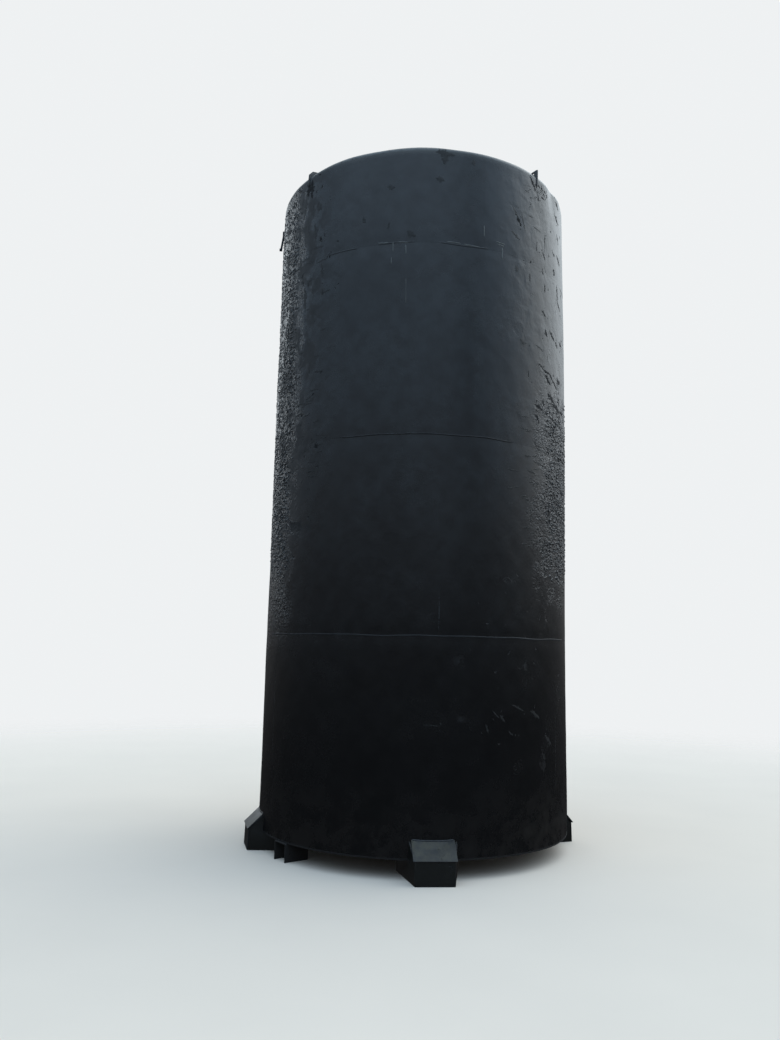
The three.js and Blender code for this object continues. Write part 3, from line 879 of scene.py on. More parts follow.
def bead(pile, path, out, width, height, closed=False, seed=1, sunk=0.002):
    """Adds a bead along a path. out is the direction it stands up in, for each point."""
    path, out = np.asarray(path, float), unit(np.asarray(out, float))
    count = len(path)
    ahead_of = np.roll(path, -1, axis=0) - np.roll(path, 1, axis=0)
    if not closed:
        ahead_of[0], ahead_of[-1] = path[1] - path[0], path[-1] - path[-2]
    side = unit(np.cross(out, ahead_of))
    steps = np.linalg.norm(np.diff(path, axis=0), axis=1)
    length = np.concatenate([[0], np.cumsum(steps)])
    height = np.broadcast_to(height, count) * (0.7 + 0.6 * ripple(length, RIPPLE_PITCH, seed))
    wider = ripple(length, RIPPLE_PITCH * 2.3, seed + 1)
    width = np.broadcast_to(width, count) * (0.85 + 0.3 * wider)
    if not closed:
        taper = np.clip(np.minimum(length, length[-1] - length) / BEAD_TAPER, 0.15, 1) ** 0.5
        height, width = height * taper, width * taper
    section = [(math.cos(turn) / 2, math.sin(turn)) for turn in np.linspace(0, math.pi, 7)]
    rings = [path + side * (width * a)[:, None] + out * (height * h)[:, None] for a, h in section]
    for share in (-BEAD_ROOT, BEAD_ROOT):
        rings.append(path + side * (width * share)[:, None] - out * sunk)
    corners = np.stack(rings, axis=1).reshape(-1, 3)
    faces = tube_faces(count, len(rings)) if closed else rod_faces(count, len(rings))
    pile.add(corners, faces)


def wall_bead(pile, azimuths, heights, width, height, tilt=0.0, seat=BEAD_SEAT, **more):
    """Adds a bead along a line on the wall. tilt is how far it leans up, or down if negative."""
    path = on_wall(azimuths, SHELL_RADIUS + wall_out(azimuths, heights) - seat, heights)
    bead(pile, path, on_wall(azimuths, 1.0, tilt), width, height, **more)


def turned_bead(pile, azimuth, path, out, width, height, **more):
    """Adds a bead that is drawn with its outward direction along +X."""
    spin = np.array(turned(azimuth).to_3x3()).T
    bead(pile, np.array(path) @ spin, np.array(out) @ spin, width, height, **more)


def proud(azimuths, stretches, low, high, soft=1.6):
    """The height of a bead round the tank: high inside the given stretches, low elsewhere."""
    amount = np.zeros(len(azimuths))
    for start, end in stretches:
        middle, half = (start + end) / 2, (end - start) / 2
        away = np.abs(around_from(azimuths, middle)) - half
        amount = np.maximum(amount, np.clip(0.5 - away / (2 * soft), 0, 1))
    return low + (high - low) * amount


# %% Girth welds
GIRTH_STRETCHES = (
    [(-66, 69), (96, 150), (170, 262)],
    [(-27.5, 33.5), (62, 84), (120, 190), (226, 285)],
    [(-37, -23), (-16, -2.5), (6, 24), (70, 80), (140, 215), (250, 290)],
)
GIRTH_SUNK = -0.0012
GIRTH_PROUD = (0.0020, 0.0032, 0.0018)
GIRTH_TILT = (-0.20, -0.75, -0.10)  # how far each bead hangs down, as welded from below


def girth_weld(index):
    azimuths = np.arange(0, 360, 0.25)
    source = np.random.default_rng(40 + index)
    wander = sum(
        0.0016 * np.cos(np.radians(azimuths) * k + source.uniform(0, 6.28)) for k in (3, 7, 12, 19)
    )
    if index == 2:
        # The top seam drops a little to either side of the front, as it was tacked.
        wander = wander + 0.006 * np.sin(np.radians(azimuths) * 9 + 2.2) * hump(
            around_from(azimuths, 0), 45
        )
    share = proud(azimuths, GIRTH_STRETCHES[index], 0.0, 1.0)
    crown = GIRTH_SUNK + share * (GIRTH_PROUD[index] - GIRTH_SUNK)
    pile = Pile()
    wall_bead(pile, azimuths, SEAMS[index] + wander, 0.013, crown, GIRTH_TILT[index] * share,
              closed=True, seed=50 + index, sunk=0.0058)
    number = index + 1
    return pile.place_beads(f"girth_bead_{number}", replaced=[f"girth_weld_{number}"])


for index in range(3):
    weld = girth_weld(index)
print("girth beads:", 3, "with", len(weld.data.polygons), "faces each")

# %% Upright welds
UPRIGHT_STRETCHES = {  # course and third, heights between which the bead stands proud
    (1, 0): (1.673, 1.977),
    (2, 0): (4.109, 4.387),
}


def upright_welds():
    pile = Pile()
    for course in range(4):
        low, high = COURSE_EDGES[course] + 0.008, COURSE_EDGES[course + 1] - 0.008
        heights = np.arange(low, high, 0.006)
        for third in range(3):
            azimuth = COURSE_START[course] + third * 120
            seed = 70 + course * 3 + third
            source = np.random.default_rng(seed)
            wander = 0.08 * np.cos(heights * 5 + source.uniform(0, 6.28))
            start, end = UPRIGHT_STRETCHES.get(
                (course, third), (low + source.uniform(0, 0.7), high - source.uniform(0, 0.7))
            )
            beyond = np.abs(heights - (start + end) / 2) - (end - start) / 2
            share = np.clip(0.5 - beyond / 0.05, 0, 1)
            wall_bead(pile, azimuth + wander, heights, 0.015, 0.0014 * share - 0.0011, seed=seed)
    return pile.place_beads("upright_beads")


welds = upright_welds()
print("upright beads:", len(welds.data.polygons), "faces")

# %% Short scars beside the seams
SCARS = (  # azimuth and height at each end
    (-10.3, 4.621, -10.3, 4.542),
    (-15.8, 4.622, -12.0, 4.619),
    (-9.2, 4.617, -5.0, 4.610),
    (8.5, 4.624, 13.5, 4.620),
    (14.7, 4.617, 20.9, 4.611),
    (-10.8, 4.495, -10.8, 4.446),
    (-5.8, 4.591, -5.7, 4.517),
    (22.3, 4.796, 22.3, 4.707),
    (29.8, 4.649, 29.8, 4.555),
    (27.2, 4.688, 30.7, 4.684),
    (27.6, 4.669, 30.5, 4.666),
    (141.0, 3.62, 141.0, 3.52),
    (-128.0, 2.72, -128.2, 2.61),
    (104.0, 4.82, 108.0, 4.82),
)
FAINT_SCARS = ((-5.5, 4.323, -5.4, 4.120), (-97.0, 3.900, -96.8, 3.760))


def scars(name, places, finish):
    pile = Pile()
    for number, (azimuth, height, azimuth_end, height_end) in enumerate(places):
        azimuths = np.linspace(azimuth, azimuth_end, 14)
        heights = np.linspace(height, height_end, 14)
        wall_bead(pile, azimuths, heights, 0.0075, 0.0024, seed=100 + number)
    return pile.place_beads(name, finish)


scars("tack_scars", SCARS, "worn")
scars("faint_scars", FAINT_SCARS, "faint")
print("tack scars:", len(SCARS), "bright and", len(FAINT_SCARS), "faint")

# %% [markdown]
# ## Scabs, smears and scuffs
# Here and there the coat has come off in ragged spots, is split in a crooked line, or is rubbed
# grey. Noise can scatter such marks but can't put one where the photograph has it. Each is a thin
# ragged strip of its own here, laid on the wall from a start to an end. The dark scabs beside and
# under the front lugs are partly stains and partly painted shade from the lugs.

# %% Ragged marks on the wall
SCABS = (  # azimuth and height of the start and of the end, half the width in metres
    # The second scab on the next line lies beside the front right lug: partly a stain, partly
    # painted shade on the lug's left.
    (36.8, 4.955, 38.5, 4.888, 0.013), (43.4, 5.345, 46.9, 5.265, 0.013),
    (48.6, 5.322, 49.5, 5.312, 0.008), (50.8, 5.242, 52.6, 5.234, 0.009),
    (63.1, 5.206, 67.3, 5.165, 0.015), (64.5, 5.331, 67.5, 5.295, 0.014),
    (65.6, 5.048, 67.1, 5.005, 0.013), (53.1, 4.930, 53.1, 4.790, 0.004),
    (51.7, 4.762, 53.2, 4.719, 0.010), (60.4, 4.841, 62.7, 4.832, 0.009),
    (65.5, 4.860, 69.0, 4.820, 0.017), (51.6, 4.598, 51.7, 4.580, 0.009),
    (53.1, 4.499, 53.2, 4.455, 0.010), (65.0, 4.591, 65.3, 4.470, 0.012),
    (65.4, 4.460, 69.0, 4.405, 0.014), (50.8, 4.260, 53.4, 4.232, 0.010),
    (53.0, 4.109, 54.4, 4.078, 0.015), (57.0, 4.132, 60.9, 4.082, 0.016),
    (62.7, 4.075, 64.4, 4.044, 0.013), (67.5, 4.110, 71.0, 4.100, 0.014),
    (48.6, 3.805, 51.3, 3.774, 0.009), (51.3, 3.774, 56.8, 3.766, 0.011),
    (56.8, 3.766, 58.6, 3.733, 0.012), (58.6, 3.733, 64.0, 3.682, 0.012),
    (64.1, 3.771, 67.0, 3.752, 0.017), (53.2, 3.733, 56.6, 3.687, 0.020),
    (55.0, 3.587, 59.4, 3.554, 0.021), (65.3, 3.609, 66.7, 3.570, 0.017),
    (59.4, 3.529, 65.2, 3.520, 0.021), (51.2, 3.516, 51.3, 3.484, 0.013),
    (46.9, 3.454, 50.1, 3.442, 0.019), (46.4, 3.371, 47.8, 3.338, 0.017),
    (148.0, 5.220, 148.8, 5.030, 0.024), (-126.5, 3.520, -125.0, 3.260, 0.026),
    (112.0, 4.400, 117.0, 4.330, 0.014), (-161.0, 4.640, -157.5, 4.520, 0.017),
    # The second scab on the next line and the first on the line after lie under the front left lug:
    # partly stains, partly painted shade under the lug.
    (-101.0, 3.020, -98.5, 2.930, 0.020), (-49.4, 5.318, -48.6, 5.240, 0.032),
    (-46.9, 5.330, -46.3, 5.190, 0.026), (50.5, 5.315, 51.4, 5.306, 0.009),
    (52.6, 5.312, 53.3, 5.303, 0.008), (50.0, 5.292, 51.0, 5.287, 0.007),
    (51.8, 5.282, 52.9, 5.272, 0.007), (54.6, 5.296, 55.4, 5.286, 0.009),
)
SMEARS = (
    (-50.5, 5.190, -51.5, 5.060, 0.020), (-44.0, 4.930, -43.0, 4.780, 0.018),
    (-53.0, 4.700, -52.0, 4.560, 0.020), (-39.5, 4.560, -39.0, 4.460, 0.018),
    (-49.0, 4.400, -48.0, 4.250, 0.022), (-52.5, 4.050, -51.5, 3.900, 0.022),
    (5.0, 5.350, 10.2, 5.338, 0.026), (7.9, 5.315, 7.5, 5.270, 0.024),
    (5.0, 5.130, 6.8, 5.118, 0.020), (18.0, 5.315, 18.1, 5.290, 0.018),
    (-12.3, 5.074, -10.6, 5.068, 0.017), (-21.4, 4.845, -21.0, 4.815, 0.016),
    (-4.8, 4.690, -3.1, 4.662, 0.024), (-11.9, 4.785, -12.2, 4.728, 0.008),
    (34.5, 5.025, 36.8, 4.955, 0.010), (38.8, 4.985, 40.6, 4.861, 0.008),
    (42.2, 5.012, 45.1, 5.017, 0.008), (45.1, 4.936, 50.3, 4.928, 0.006),
    (34.1, 4.816, 37.5, 4.771, 0.013), (56.5, 4.791, 56.6, 4.770, 0.008),
    (36.3, 4.538, 36.4, 4.497, 0.013), (43.2, 4.514, 43.3, 4.459, 0.015),
    (38.5, 3.944, 40.5, 3.931, 0.016), (46.5, 3.949, 51.5, 3.930, 0.009),
    (-49.2, 5.006, -47.2, 4.865, 0.020), (-58.0, 5.000, -54.5, 4.890, 0.045),
    (-42.5, 5.100, -41.0, 5.050, 0.028),
    (-46.5, 5.121, -45.2, 5.003, 0.015), (171.0, 2.640, 172.4, 2.480, 0.020),
)
SCUFFS = (
    (26.5, 1.135, 29.0, 1.085, 0.006), (29.5, 1.100, 31.2, 1.055, 0.008),
    (34.5, 1.170, 39.5, 1.130, 0.008), (24.0, 1.040, 24.8, 0.985, 0.008),
    (43.5, 1.120, 48.0, 1.070, 0.014), (3.0, 1.036, 8.0, 1.030, 0.004),
    (33.0, 0.990, 34.5, 0.962, 0.007), (52.0, 0.940, 56.0, 0.870, 0.014),
    (-150.0, 1.300, -147.0, 1.240, 0.014), (121.0, 1.050, 125.0, 1.020, 0.012),
)
CRACK_BELTS = (  # azimuths from thin to thick, heights, how many
    (30.0, 54.0, 2.30, 3.42, 46), (-36.0, -56.0, 2.70, 5.00, 44), (140.0, 122.0, 2.30, 3.42, 12),
)
MARK_STEP = 0.005
MARK_SHARES = (-1.0, -0.5, 0.0, 0.5, 1.0)  # across a strip, from one edge to the other
MARK_TOP, MARK_EDGE, MARK_ROOT = 0.0009, 0.0007, -0.0010  # its crown, fall to the edge, and root
DEGREE = math.radians(SHELL_RADIUS)  # metres along the wall for one degree


def mark(pile, start, end, half_width, source):
    """Adds a thin ragged strip. start and end are (azimuth, height)."""
    line = np.array([(end[0] - start[0]) * DEGREE, end[1] - start[1]])
    length = np.linalg.norm(line)
    ahead_of = line / length
    side = np.array([-ahead_of[1], ahead_of[0]])
    reach = length / 2 + half_width * 0.8
    along = np.linspace(-reach, reach, max(6, round(2 * reach / MARK_STEP)))
    middle = np.array([start[0] * DEGREE, start[1]]) + line / 2
    shape = np.clip(1 - np.abs(along / reach) ** 2.5, 0.03, 1) * half_width
    bend = np.cumsum(source.normal(0, 0.10, len(along))) * half_width
    bend -= np.linspace(bend[0], bend[-1], len(along))
    edges = [shape * source.uniform(0.25, 1.45, len(along)) for _ in range(2)]
    layers = []
    for lift, fall in ((MARK_TOP, MARK_EDGE), (MARK_ROOT, 0.0)):
        for share in MARK_SHARES:
            across = bend + share * (edges[0] if share < 0 else edges[1])
            spots = middle + along[:, None] * ahead_of + across[:, None] * side
            azimuth, height = spots[:, 0] / DEGREE, spots[:, 1]
            radius = SHELL_RADIUS + wall_out(azimuth, height) + (lift - fall * abs(share))
            layers.append(on_wall(azimuth, radius, height))
    pile.add(np.concatenate(layers), sheet_faces(len(MARK_SHARES), len(along)))


def marks(name, strokes, finish, crumbs, seed):
    """All marks of one kind as a piece, each with a few crumbs beside it."""
    source = np.random.default_rng(seed)
    pile = Pile()
    for azimuth, height, azimuth_end, height_end, half_width in strokes:
        mark(pile, (azimuth, height), (azimuth_end, height_end), half_width, source)
        for _ in range(crumbs):
            share = source.uniform(-0.2, 1.2)
            spot = (
                azimuth + (azimuth_end - azimuth) * share + source.normal(0, 1.1),
                height + (height_end - height) * share + source.normal(0, 0.020),
            )
            tip = (spot[0] + source.uniform(-0.3, 0.3), spot[1] + source.uniform(0.003, 0.012))
            mark(pile, spot, tip, source.uniform(0.003, 0.007), source)
    return pile.place(name, finish, sharp=50)


def edge_cracks():
    """Short level cracks where the crust of each flank gives way to whole paint."""
    source = np.random.default_rng(63)
    strokes = []
    for inner, outer, low, high, number in CRACK_BELTS:
        for _ in range(number):
            share = source.uniform(0, 1) ** 0.6
            azimuth, height = inner + (outer - inner) * share, source.uniform(low, high)
            length, rise = source.uniform(1.5, 5.0), source.normal(0, 0.008)
            half_width = source.uniform(0.004, 0.009)
            strokes.append((azimuth, height, azimuth + length, height + rise, half_width))
    return strokes


marks("edge_cracks", edge_cracks(), "smear", 0, 64)
marks("paint_scabs", SCABS, "scab", 3, 60)
marks("paint_smears", SMEARS, "smear", 0, 61)
marks("paint_scuffs", SCUFFS, "scuff", 2, 62)
print("marks:", len(SCABS), "scabs,", len(SMEARS), "smears,", len(SCUFFS), "scuffs")

# %% [markdown]
# ## Crusty paint
# On the rough flanks the coat has risen in small hard blisters, bright on top where they catch
# the sky and black underneath. A bump in the material is too weak for that where the wall is
# seen edge-on, so the larger ones are real: low ragged domes with their rims sunk in the wall,
# scattered on a shaken grid and thinned out at the edges and in bald patches.

# %% Blisters on the flanks
BLISTER_GRID = (1.70, 0.026)  # degrees and metres from one to the next
BLISTER_SIDES = 6
CRUSTS = {  # azimuths and heights between which the crust is whole, and its seed
    "left_crust": ((-150.0, -57.0), (2.30, 5.12), 80),
    "right_crust": ((57.0, 122.0), (2.25, 3.32), 81),
}


def blister_places(azimuths, heights, source):
    across = np.arange(azimuths[0] - 30, azimuths[1] + 30, BLISTER_GRID[0])
    top = min(heights[1] + 0.70, SHELL_TOP - 0.03)
    along = np.arange(heights[0] - 0.70, top, BLISTER_GRID[1])
    azimuth, height = (grid.ravel() for grid in np.meshgrid(across, along))
    azimuth = azimuth + source.uniform(-0.95, 0.95, azimuth.size)
    height = height + source.uniform(-0.014, 0.014, height.size)
    patches = sum(
        np.cos(azimuth * source.uniform(-0.5, 0.5) + height * source.uniform(-9, 9) + phase)
        for phase in source.uniform(0, 6.28, 7)
    )
    # The edge that the photograph shows is firm. Out of its sight the crust's edge wanders.
    unseen = np.clip((np.abs(azimuth) - 66) / 24, 0, 1)
    phase = source.uniform(0, 6.28, 5)
    shifted = azimuth + unseen * (
        11 * np.cos(2.9 * height + phase[0]) + 7 * np.cos(7.3 * height + 0.07 * azimuth + phase[1])
    )
    level = height + unseen * (
        0.26 * np.cos(0.13 * azimuth + phase[2])
        + 0.18 * np.cos(0.31 * azimuth + 2 * height + phase[3])
        + 0.10 * np.cos(0.80 * azimuth + phase[4])
    )
    inside = np.minimum.reduce([
        (shifted - azimuths[0]) / 5, (azimuths[1] - shifted) / 5,
        (level - heights[0]) / 0.3, (heights[1] - level) / 0.3,
    ])
    inside = np.where(inside < 0, inside, inside / (1 + unseen))
    inside = inside - 0.35 * unseen * np.clip(patches, 0, 9)
    wanted = np.clip(inside + 1, 0, 1) ** 1.5 * (0.80 + 0.17 * patches)
    kept = wanted > source.uniform(0, 1, azimuth.size)
    return azimuth[kept], height[kept]


def crust(name, azimuths, heights, seed):
    """Low domes of two rings and a top, all made at once because there are thousands."""
    source = np.random.default_rng(seed)
    azimuth, height = blister_places(azimuths, heights, source)
    count, sides = len(azimuth), BLISTER_SIDES
    wide = source.uniform(0.008, 0.019, (count, 1))
    tall = source.uniform(0.007, 0.013, (count, 1))
    rise = source.uniform(0.0020, 0.0056, (count, 1))
    lean = source.uniform(-0.6, 0.6, (count, 1))
    turn = (np.arange(sides) + source.uniform(-0.3, 0.3, (count, sides))) * 2 * math.pi / sides
    ragged = source.uniform(0.65, 1.30, (count, sides))
    across, along = wide * ragged * np.cos(turn), tall * ragged * np.sin(turn)
    across, along = (
        across * np.cos(lean) - along * np.sin(lean),
        across * np.sin(lean) + along * np.cos(lean),
    )
    layers = []
    for share, lift in (
        (1.0, -0.0008),
        (0.62, rise * source.uniform(0.60, 1.05, (count, sides))),
        (0.0, rise),
    ):
        points = slice(0, 1 if share == 0 else sides)
        spot = azimuth[:, None] + share * across[:, points] / DEGREE
        level = height[:, None] + share * along[:, points]
        layers.append(on_wall(spot, SHELL_RADIUS + wall_out(spot, level) + lift, level))
    corners = np.concatenate(layers, axis=1)
    faces = grid_faces(2, sides, closed=True) + fan_faces(2 * sides, sides, sides)
    faces.append(list(range(sides))[::-1])
    firsts = np.arange(count)[:, None] * corners.shape[1]
    pile = Pile()
    pile.add(corners.reshape(-1, 3), [row for face in faces for row in firsts + np.array(face)])
    pile.place(name, "crust", sharp=60)
    return count


for name, (azimuths, heights, seed) in CRUSTS.items():
    print(name, crust(name, azimuths, heights, seed), "blisters")

# %% [markdown]
# ## The rim
# The top of the wall is rolled over a rounded edge to meet the roof. By hand that edge never
# comes out level: it dips and lifts by up to a centimetre round the front, and the dent on
# the right shoulder flattens it. The section is an arc swept round the tank, and each point
# of the arc takes its share of the dip.

# %% Rim
RIM_BEND = 0.045
RIM_TURN = 78.0  # degrees from upright to the roof's slope
ROOF_LEAN = math.radians(12)
ROOF_SLOPE = math.tan(ROOF_LEAN)
ROOF_SHARE = 0.7  # how much of the wall's waves is left where the rim meets the roof
RIM_LIFTS = (  # azimuth, spread, how far up
    (-48, 9, -0.008),
    (-17, 7, -0.006),
    (12, 8, -0.006),
    (40, 7, 0.005),
    (59, 5, -0.005),
    (125, 14, 0.005),
    (170, 12, -0.005),
    (-120, 14, -0.004),
)


def rim_lift(azimuth):
    return sum(
        size * hump(around_from(azimuth, middle), spread) for middle, spread, size in RIM_LIFTS
    )


def rim_point(azimuth, turn, inset=0.0):
    """Radius and height of the rim's outside where the arc has turned by so many degrees."""
    angle = np.radians(turn)
    share = np.asarray(turn) / RIM_TURN
    bend = RIM_BEND - inset
    radius = SHELL_RADIUS - RIM_BEND + bend * np.cos(angle)
    radius = radius + wall_out(azimuth, SHELL_TOP) * (1 - (1 - ROOF_SHARE) * share)
    height = SHELL_TOP + bend * np.sin(angle) + rim_lift(azimuth) * share
    return radius, height


def rim():
    azimuths = np.arange(0, 360, 0.75)
    rings = []
    for inset, turns in ((0.0, np.linspace(0, RIM_TURN, 15)), (PLATE, np.linspace(RIM_TURN, 0, 7))):
        for turn in turns:
            radius, height = rim_point(azimuths, turn, inset)
            rings.append(on_wall(azimuths, radius, height))
    pile = Pile()
    pile.add(np.concatenate(rings), tube_faces(len(rings), len(azimuths)))
    return pile.place("rolled_rim", "rim", ["roof_rim"], sharp=40)


rim_piece = rim()
print("rim:", len(rim_piece.data.polygons), "faces")

# %% [markdown]
# ## The roof
# The camera stands too low to see the roof, so its form and the manhole's are a guess. It is
# a shallow cone of four flat-cut plates. Thin roof plate sags between its welds, so the cone
# is a grid that hangs a few millimetres and follows the rim's dips at its edge.

# %% Roof plates
ROOF_EDGE = SHELL_RADIUS - RIM_BEND + RIM_BEND * math.cos(math.radians(RIM_TURN))
ROOF_EDGE_HEIGHT = SHELL_TOP + RIM_BEND * math.sin(math.radians(RIM_TURN))
ROOF_PLATE = 0.005
NECK_RADIUS = 0.300


def roof_height(azimuth, radius):
    """Height of the roof's outside."""
    azimuth = np.asarray(azimuth, float)
    inwards = (ROOF_EDGE - radius) / (ROOF_EDGE - NECK_RADIUS)
    uneven = 0.6 + 0.4 * np.cos(np.radians(azimuth * 8))
    sag = -0.006 * np.sin(math.pi * np.clip(inwards, 0, 1)) * uneven
    ripples = 0.0014 * np.cos(np.radians(azimuth * 13) + radius * 17)
    edge = rim_lift(azimuth) * np.clip(1 - inwards * 3, 0, 1)
    held = np.clip(inwards * 4, 0, 1) * np.clip((1 - inwards) * 4, 0, 1)
    return ROOF_EDGE_HEIGHT + (ROOF_EDGE - radius) * ROOF_SLOPE + edge + (sag + ripples) * held


def roof_gore(number):
    azimuths = np.linspace(number * 90 + 0.01, number * 90 + 89.99, 91)
    shares = np.linspace(0, 1, 46)
    grid_azimuth, share = np.meshgrid(azimuths, shares)
    edge = wall_out(grid_azimuth, SHELL_TOP) * ROOF_SHARE
    layers = []
    for drop in (0.0, ROOF_PLATE / math.cos(ROOF_LEAN)):
        radius = NECK_RADIUS + 0.0006 + (ROOF_EDGE - 0.0004 + edge - NECK_RADIUS) * share
        height = roof_height(grid_azimuth, radius - edge * share) - drop
        layers.append(on_wall(grid_azimuth, radius, height).reshape(-1, 3))
    pile = Pile()
    pile.add(np.concatenate(layers), sheet_faces(len(shares), len(azimuths)))
    return pile.place(f"roof_plate_{number + 1}", "roof", [f"roof_gore_{number + 1}"])


for number in range(4):
    gore = roof_gore(number)
print("roof plates:", 4, "with", len(gore.data.polygons), "faces each")


# %% Roof welds
def roof_welds():
    pile = Pile()
    azimuths = np.arange(0, 360, 0.5)
    edge = wall_out(azimuths, SHELL_TOP) * ROOF_SHARE
    path = on_wall(azimuths, ROOF_EDGE + edge, roof_height(azimuths, ROOF_EDGE) + 0.0002)
    out = on_wall(azimuths, math.sin(ROOF_LEAN), math.cos(ROOF_LEAN))
    bead(pile, path, out, 0.012, 0.0022, closed=True, seed=200)
    for quarter in range(4):
        radius = np.arange(NECK_RADIUS + 0.012, ROOF_EDGE - 0.004, 0.006)
        path = on_wall(quarter * 90.0, radius, roof_height(quarter * 90.0, radius))
        upwards = np.tile((0.0, 0.0, 1.0), (len(radius), 1))
        bead(pile, path, upwards, 0.012, 0.0024, seed=210 + quarter)
    return pile.place_beads("roof_beads")


roof_seams = roof_welds()
print("roof beads:", len(roof_seams.data.polygons), "faces")

# %% [markdown]
# ## The manhole
# A short round neck with a flat flange, closed by a pressed lid with a turned-down edge. Each
# is one section spun about the tank's axis. A spun section could be a modifier, but here the
# corners are written directly so that small dents can be pressed into them.


# %% Spun pieces
def spun(section, segments=144, dent=0.0, seed=1):
    """A closed form from a section of radii and heights, whose first and last point may be on
    the axis. dent is how far the skin wanders."""
    source = np.random.default_rng(seed)
    azimuths = np.arange(segments) * 360 / segments
    wander = sum(
        dent * np.cos(np.radians(azimuths) * k + source.uniform(0, 6.28)) for k in (2, 3, 5)
    )
    on_axis = section[0][0] == 0
    body = section[1:-1] if on_axis else section
    corners = [on_wall(azimuths, radius + wander, height) for radius, height in body]
    if on_axis:
        corners.append([(0, 0, section[0][1]), (0, 0, section[-1][1])])
    make_faces = pointed_faces if on_axis else tube_faces
    pile = Pile()
    pile.add(np.concatenate(corners), make_faces(len(body), segments))
    return pile


def rounded(section, radius=0.0015):
    """Takes the sharp corners off a closed section."""
    points = np.asarray(section, float)
    soft = []
    for here, before, after in zip(points, np.roll(points, 1, axis=0), np.roll(points, -1, axis=0)):
        for other in (before, after):
            reach = np.linalg.norm(other - here)
            soft.append(tuple(here + (other - here) * min(radius / reach, 0.3)))
    return soft


# %% Neck, flange and lid
NECK_TOP = ROOF_EDGE_HEIGHT + (ROOF_EDGE - NECK_RADIUS) * ROOF_SLOPE + 0.150
NECK_BOTTOM = NECK_TOP - 0.175
NECK_INSIDE = NECK_RADIUS - 0.006
FLANGE_RADIUS = 0.345
LID_UNDER = NECK_TOP + 0.0003
LID_PLATE = 0.005
LID_TOP = LID_UNDER + LID_PLATE
SKIRT_INSIDE = FLANGE_RADIUS + 0.004
SKIRT_OUTSIDE = SKIRT_INSIDE + LID_PLATE
SKIRT_FOOT = LID_TOP - 0.045
LID_CROWN, LID_BEND = 0.014, 0.006

neck_section = rounded(
    [(NECK_INSIDE, NECK_BOTTOM), (NECK_RADIUS, NECK_BOTTOM), (NECK_RADIUS, NECK_TOP),
     (NECK_INSIDE, NECK_TOP)]
)
spun(neck_section).place("neck", "roof", ["manhole_neck"])

flange_inside, flange_under = NECK_RADIUS + 0.0003, NECK_TOP - 0.010
flange_section = rounded(
    [(flange_inside, flange_under), (FLANGE_RADIUS, flange_under), (FLANGE_RADIUS, NECK_TOP),
     (flange_inside, NECK_TOP)]
)
spun(flange_section).place("flange", "roof", ["manhole_flange"])


def lid_crown(radius):
    """How far the lid's top stands over its flat edge."""
    share = np.clip(1 - radius / NECK_RADIUS, 0, 1)
    return LID_CROWN * share * (1 + 0.45 * (1 - share))


def arc(middle_x, middle_y, radius, turns):
    """Points of an arc at angles in degrees."""
    angles = [math.radians(turn) for turn in turns]
    return [(middle_x + radius * math.cos(a), middle_y + radius * math.sin(a)) for a in angles]


def lid():
    radii = np.linspace(0, NECK_RADIUS, 9)
    inside = [(radius, LID_UNDER + lid_crown(radius)) for radius in radii]
    outside = [(radius, LID_TOP + lid_crown(radius)) for radius in radii[::-1]]
    edge = [
        (SKIRT_INSIDE, LID_UNDER),
        (SKIRT_INSIDE, SKIRT_FOOT),
        (SKIRT_INSIDE + 0.001, SKIRT_FOOT),
        (SKIRT_OUTSIDE - 0.001, SKIRT_FOOT),
        (SKIRT_OUTSIDE, SKIRT_FOOT + 0.001),
        (SKIRT_OUTSIDE, LID_TOP - LID_BEND),
    ]
    edge += arc(SKIRT_OUTSIDE - LID_BEND, LID_TOP - LID_BEND, LID_BEND, (20, 45, 70, 90))
    skin = spun(inside + edge + outside, dent=0.0006, seed=5)
    return skin.place("lid", "roof", ["manhole_lid"])


lid()
print("lid's edge is at", round(LID_TOP, 4), "m")


# %% Plates cut from sheet
def flat_plate(outline, thickness, place, bevel=0.0012, holes=()):
    """A mesh of a plate with softened edges. The outline is drawn in x and y, and the
    thickness is along z, before place puts it on the tank."""
    drawing = bpy.data.curves.new("cutting", "CURVE")
    drawing.dimensions = "2D"
    drawing.fill_mode = "BOTH"
    for line in (outline, *holes):
        spline = drawing.splines.new("POLY")
        spline.points.add(len(line) - 1)
        for point, (x, y) in zip(spline.points, line):
            point.co = (x, y, 0.0, 1.0)
        spline.use_cyclic_u = True
    drawing.extrude = thickness / 2 - bevel
    drawing.bevel_depth = bevel
    drawing.bevel_resolution = 1
    drawing.offset = -bevel
    cutter = bpy.data.objects.new("cutting", drawing)
    mesh = bpy.data.meshes.new_from_object(cutter)
    bpy.data.objects.remove(cutter)
    bpy.data.curves.remove(drawing)
    tool = bmesh.new()
    tool.from_mesh(mesh)
    bmesh.ops.remove_doubles(tool, verts=tool.verts, dist=0.00002)
    upright = place @ Matrix.Rotation(math.radians(90), 4, "X")
    bmesh.ops.transform(tool, matrix=upright, verts=tool.verts)
    tool.to_mesh(mesh)
    tool.free()
    mesh.materials.clear()
    return mesh


# %% Hinge post
HINGE_AZIMUTH = -90.0
POST_OUTSIDE = SKIRT_OUTSIDE + 0.042
POST_INSIDE = POST_OUTSIDE - 0.008
STRAP_UNDER = LID_TOP + 0.0003
STRAP_END = 0.308


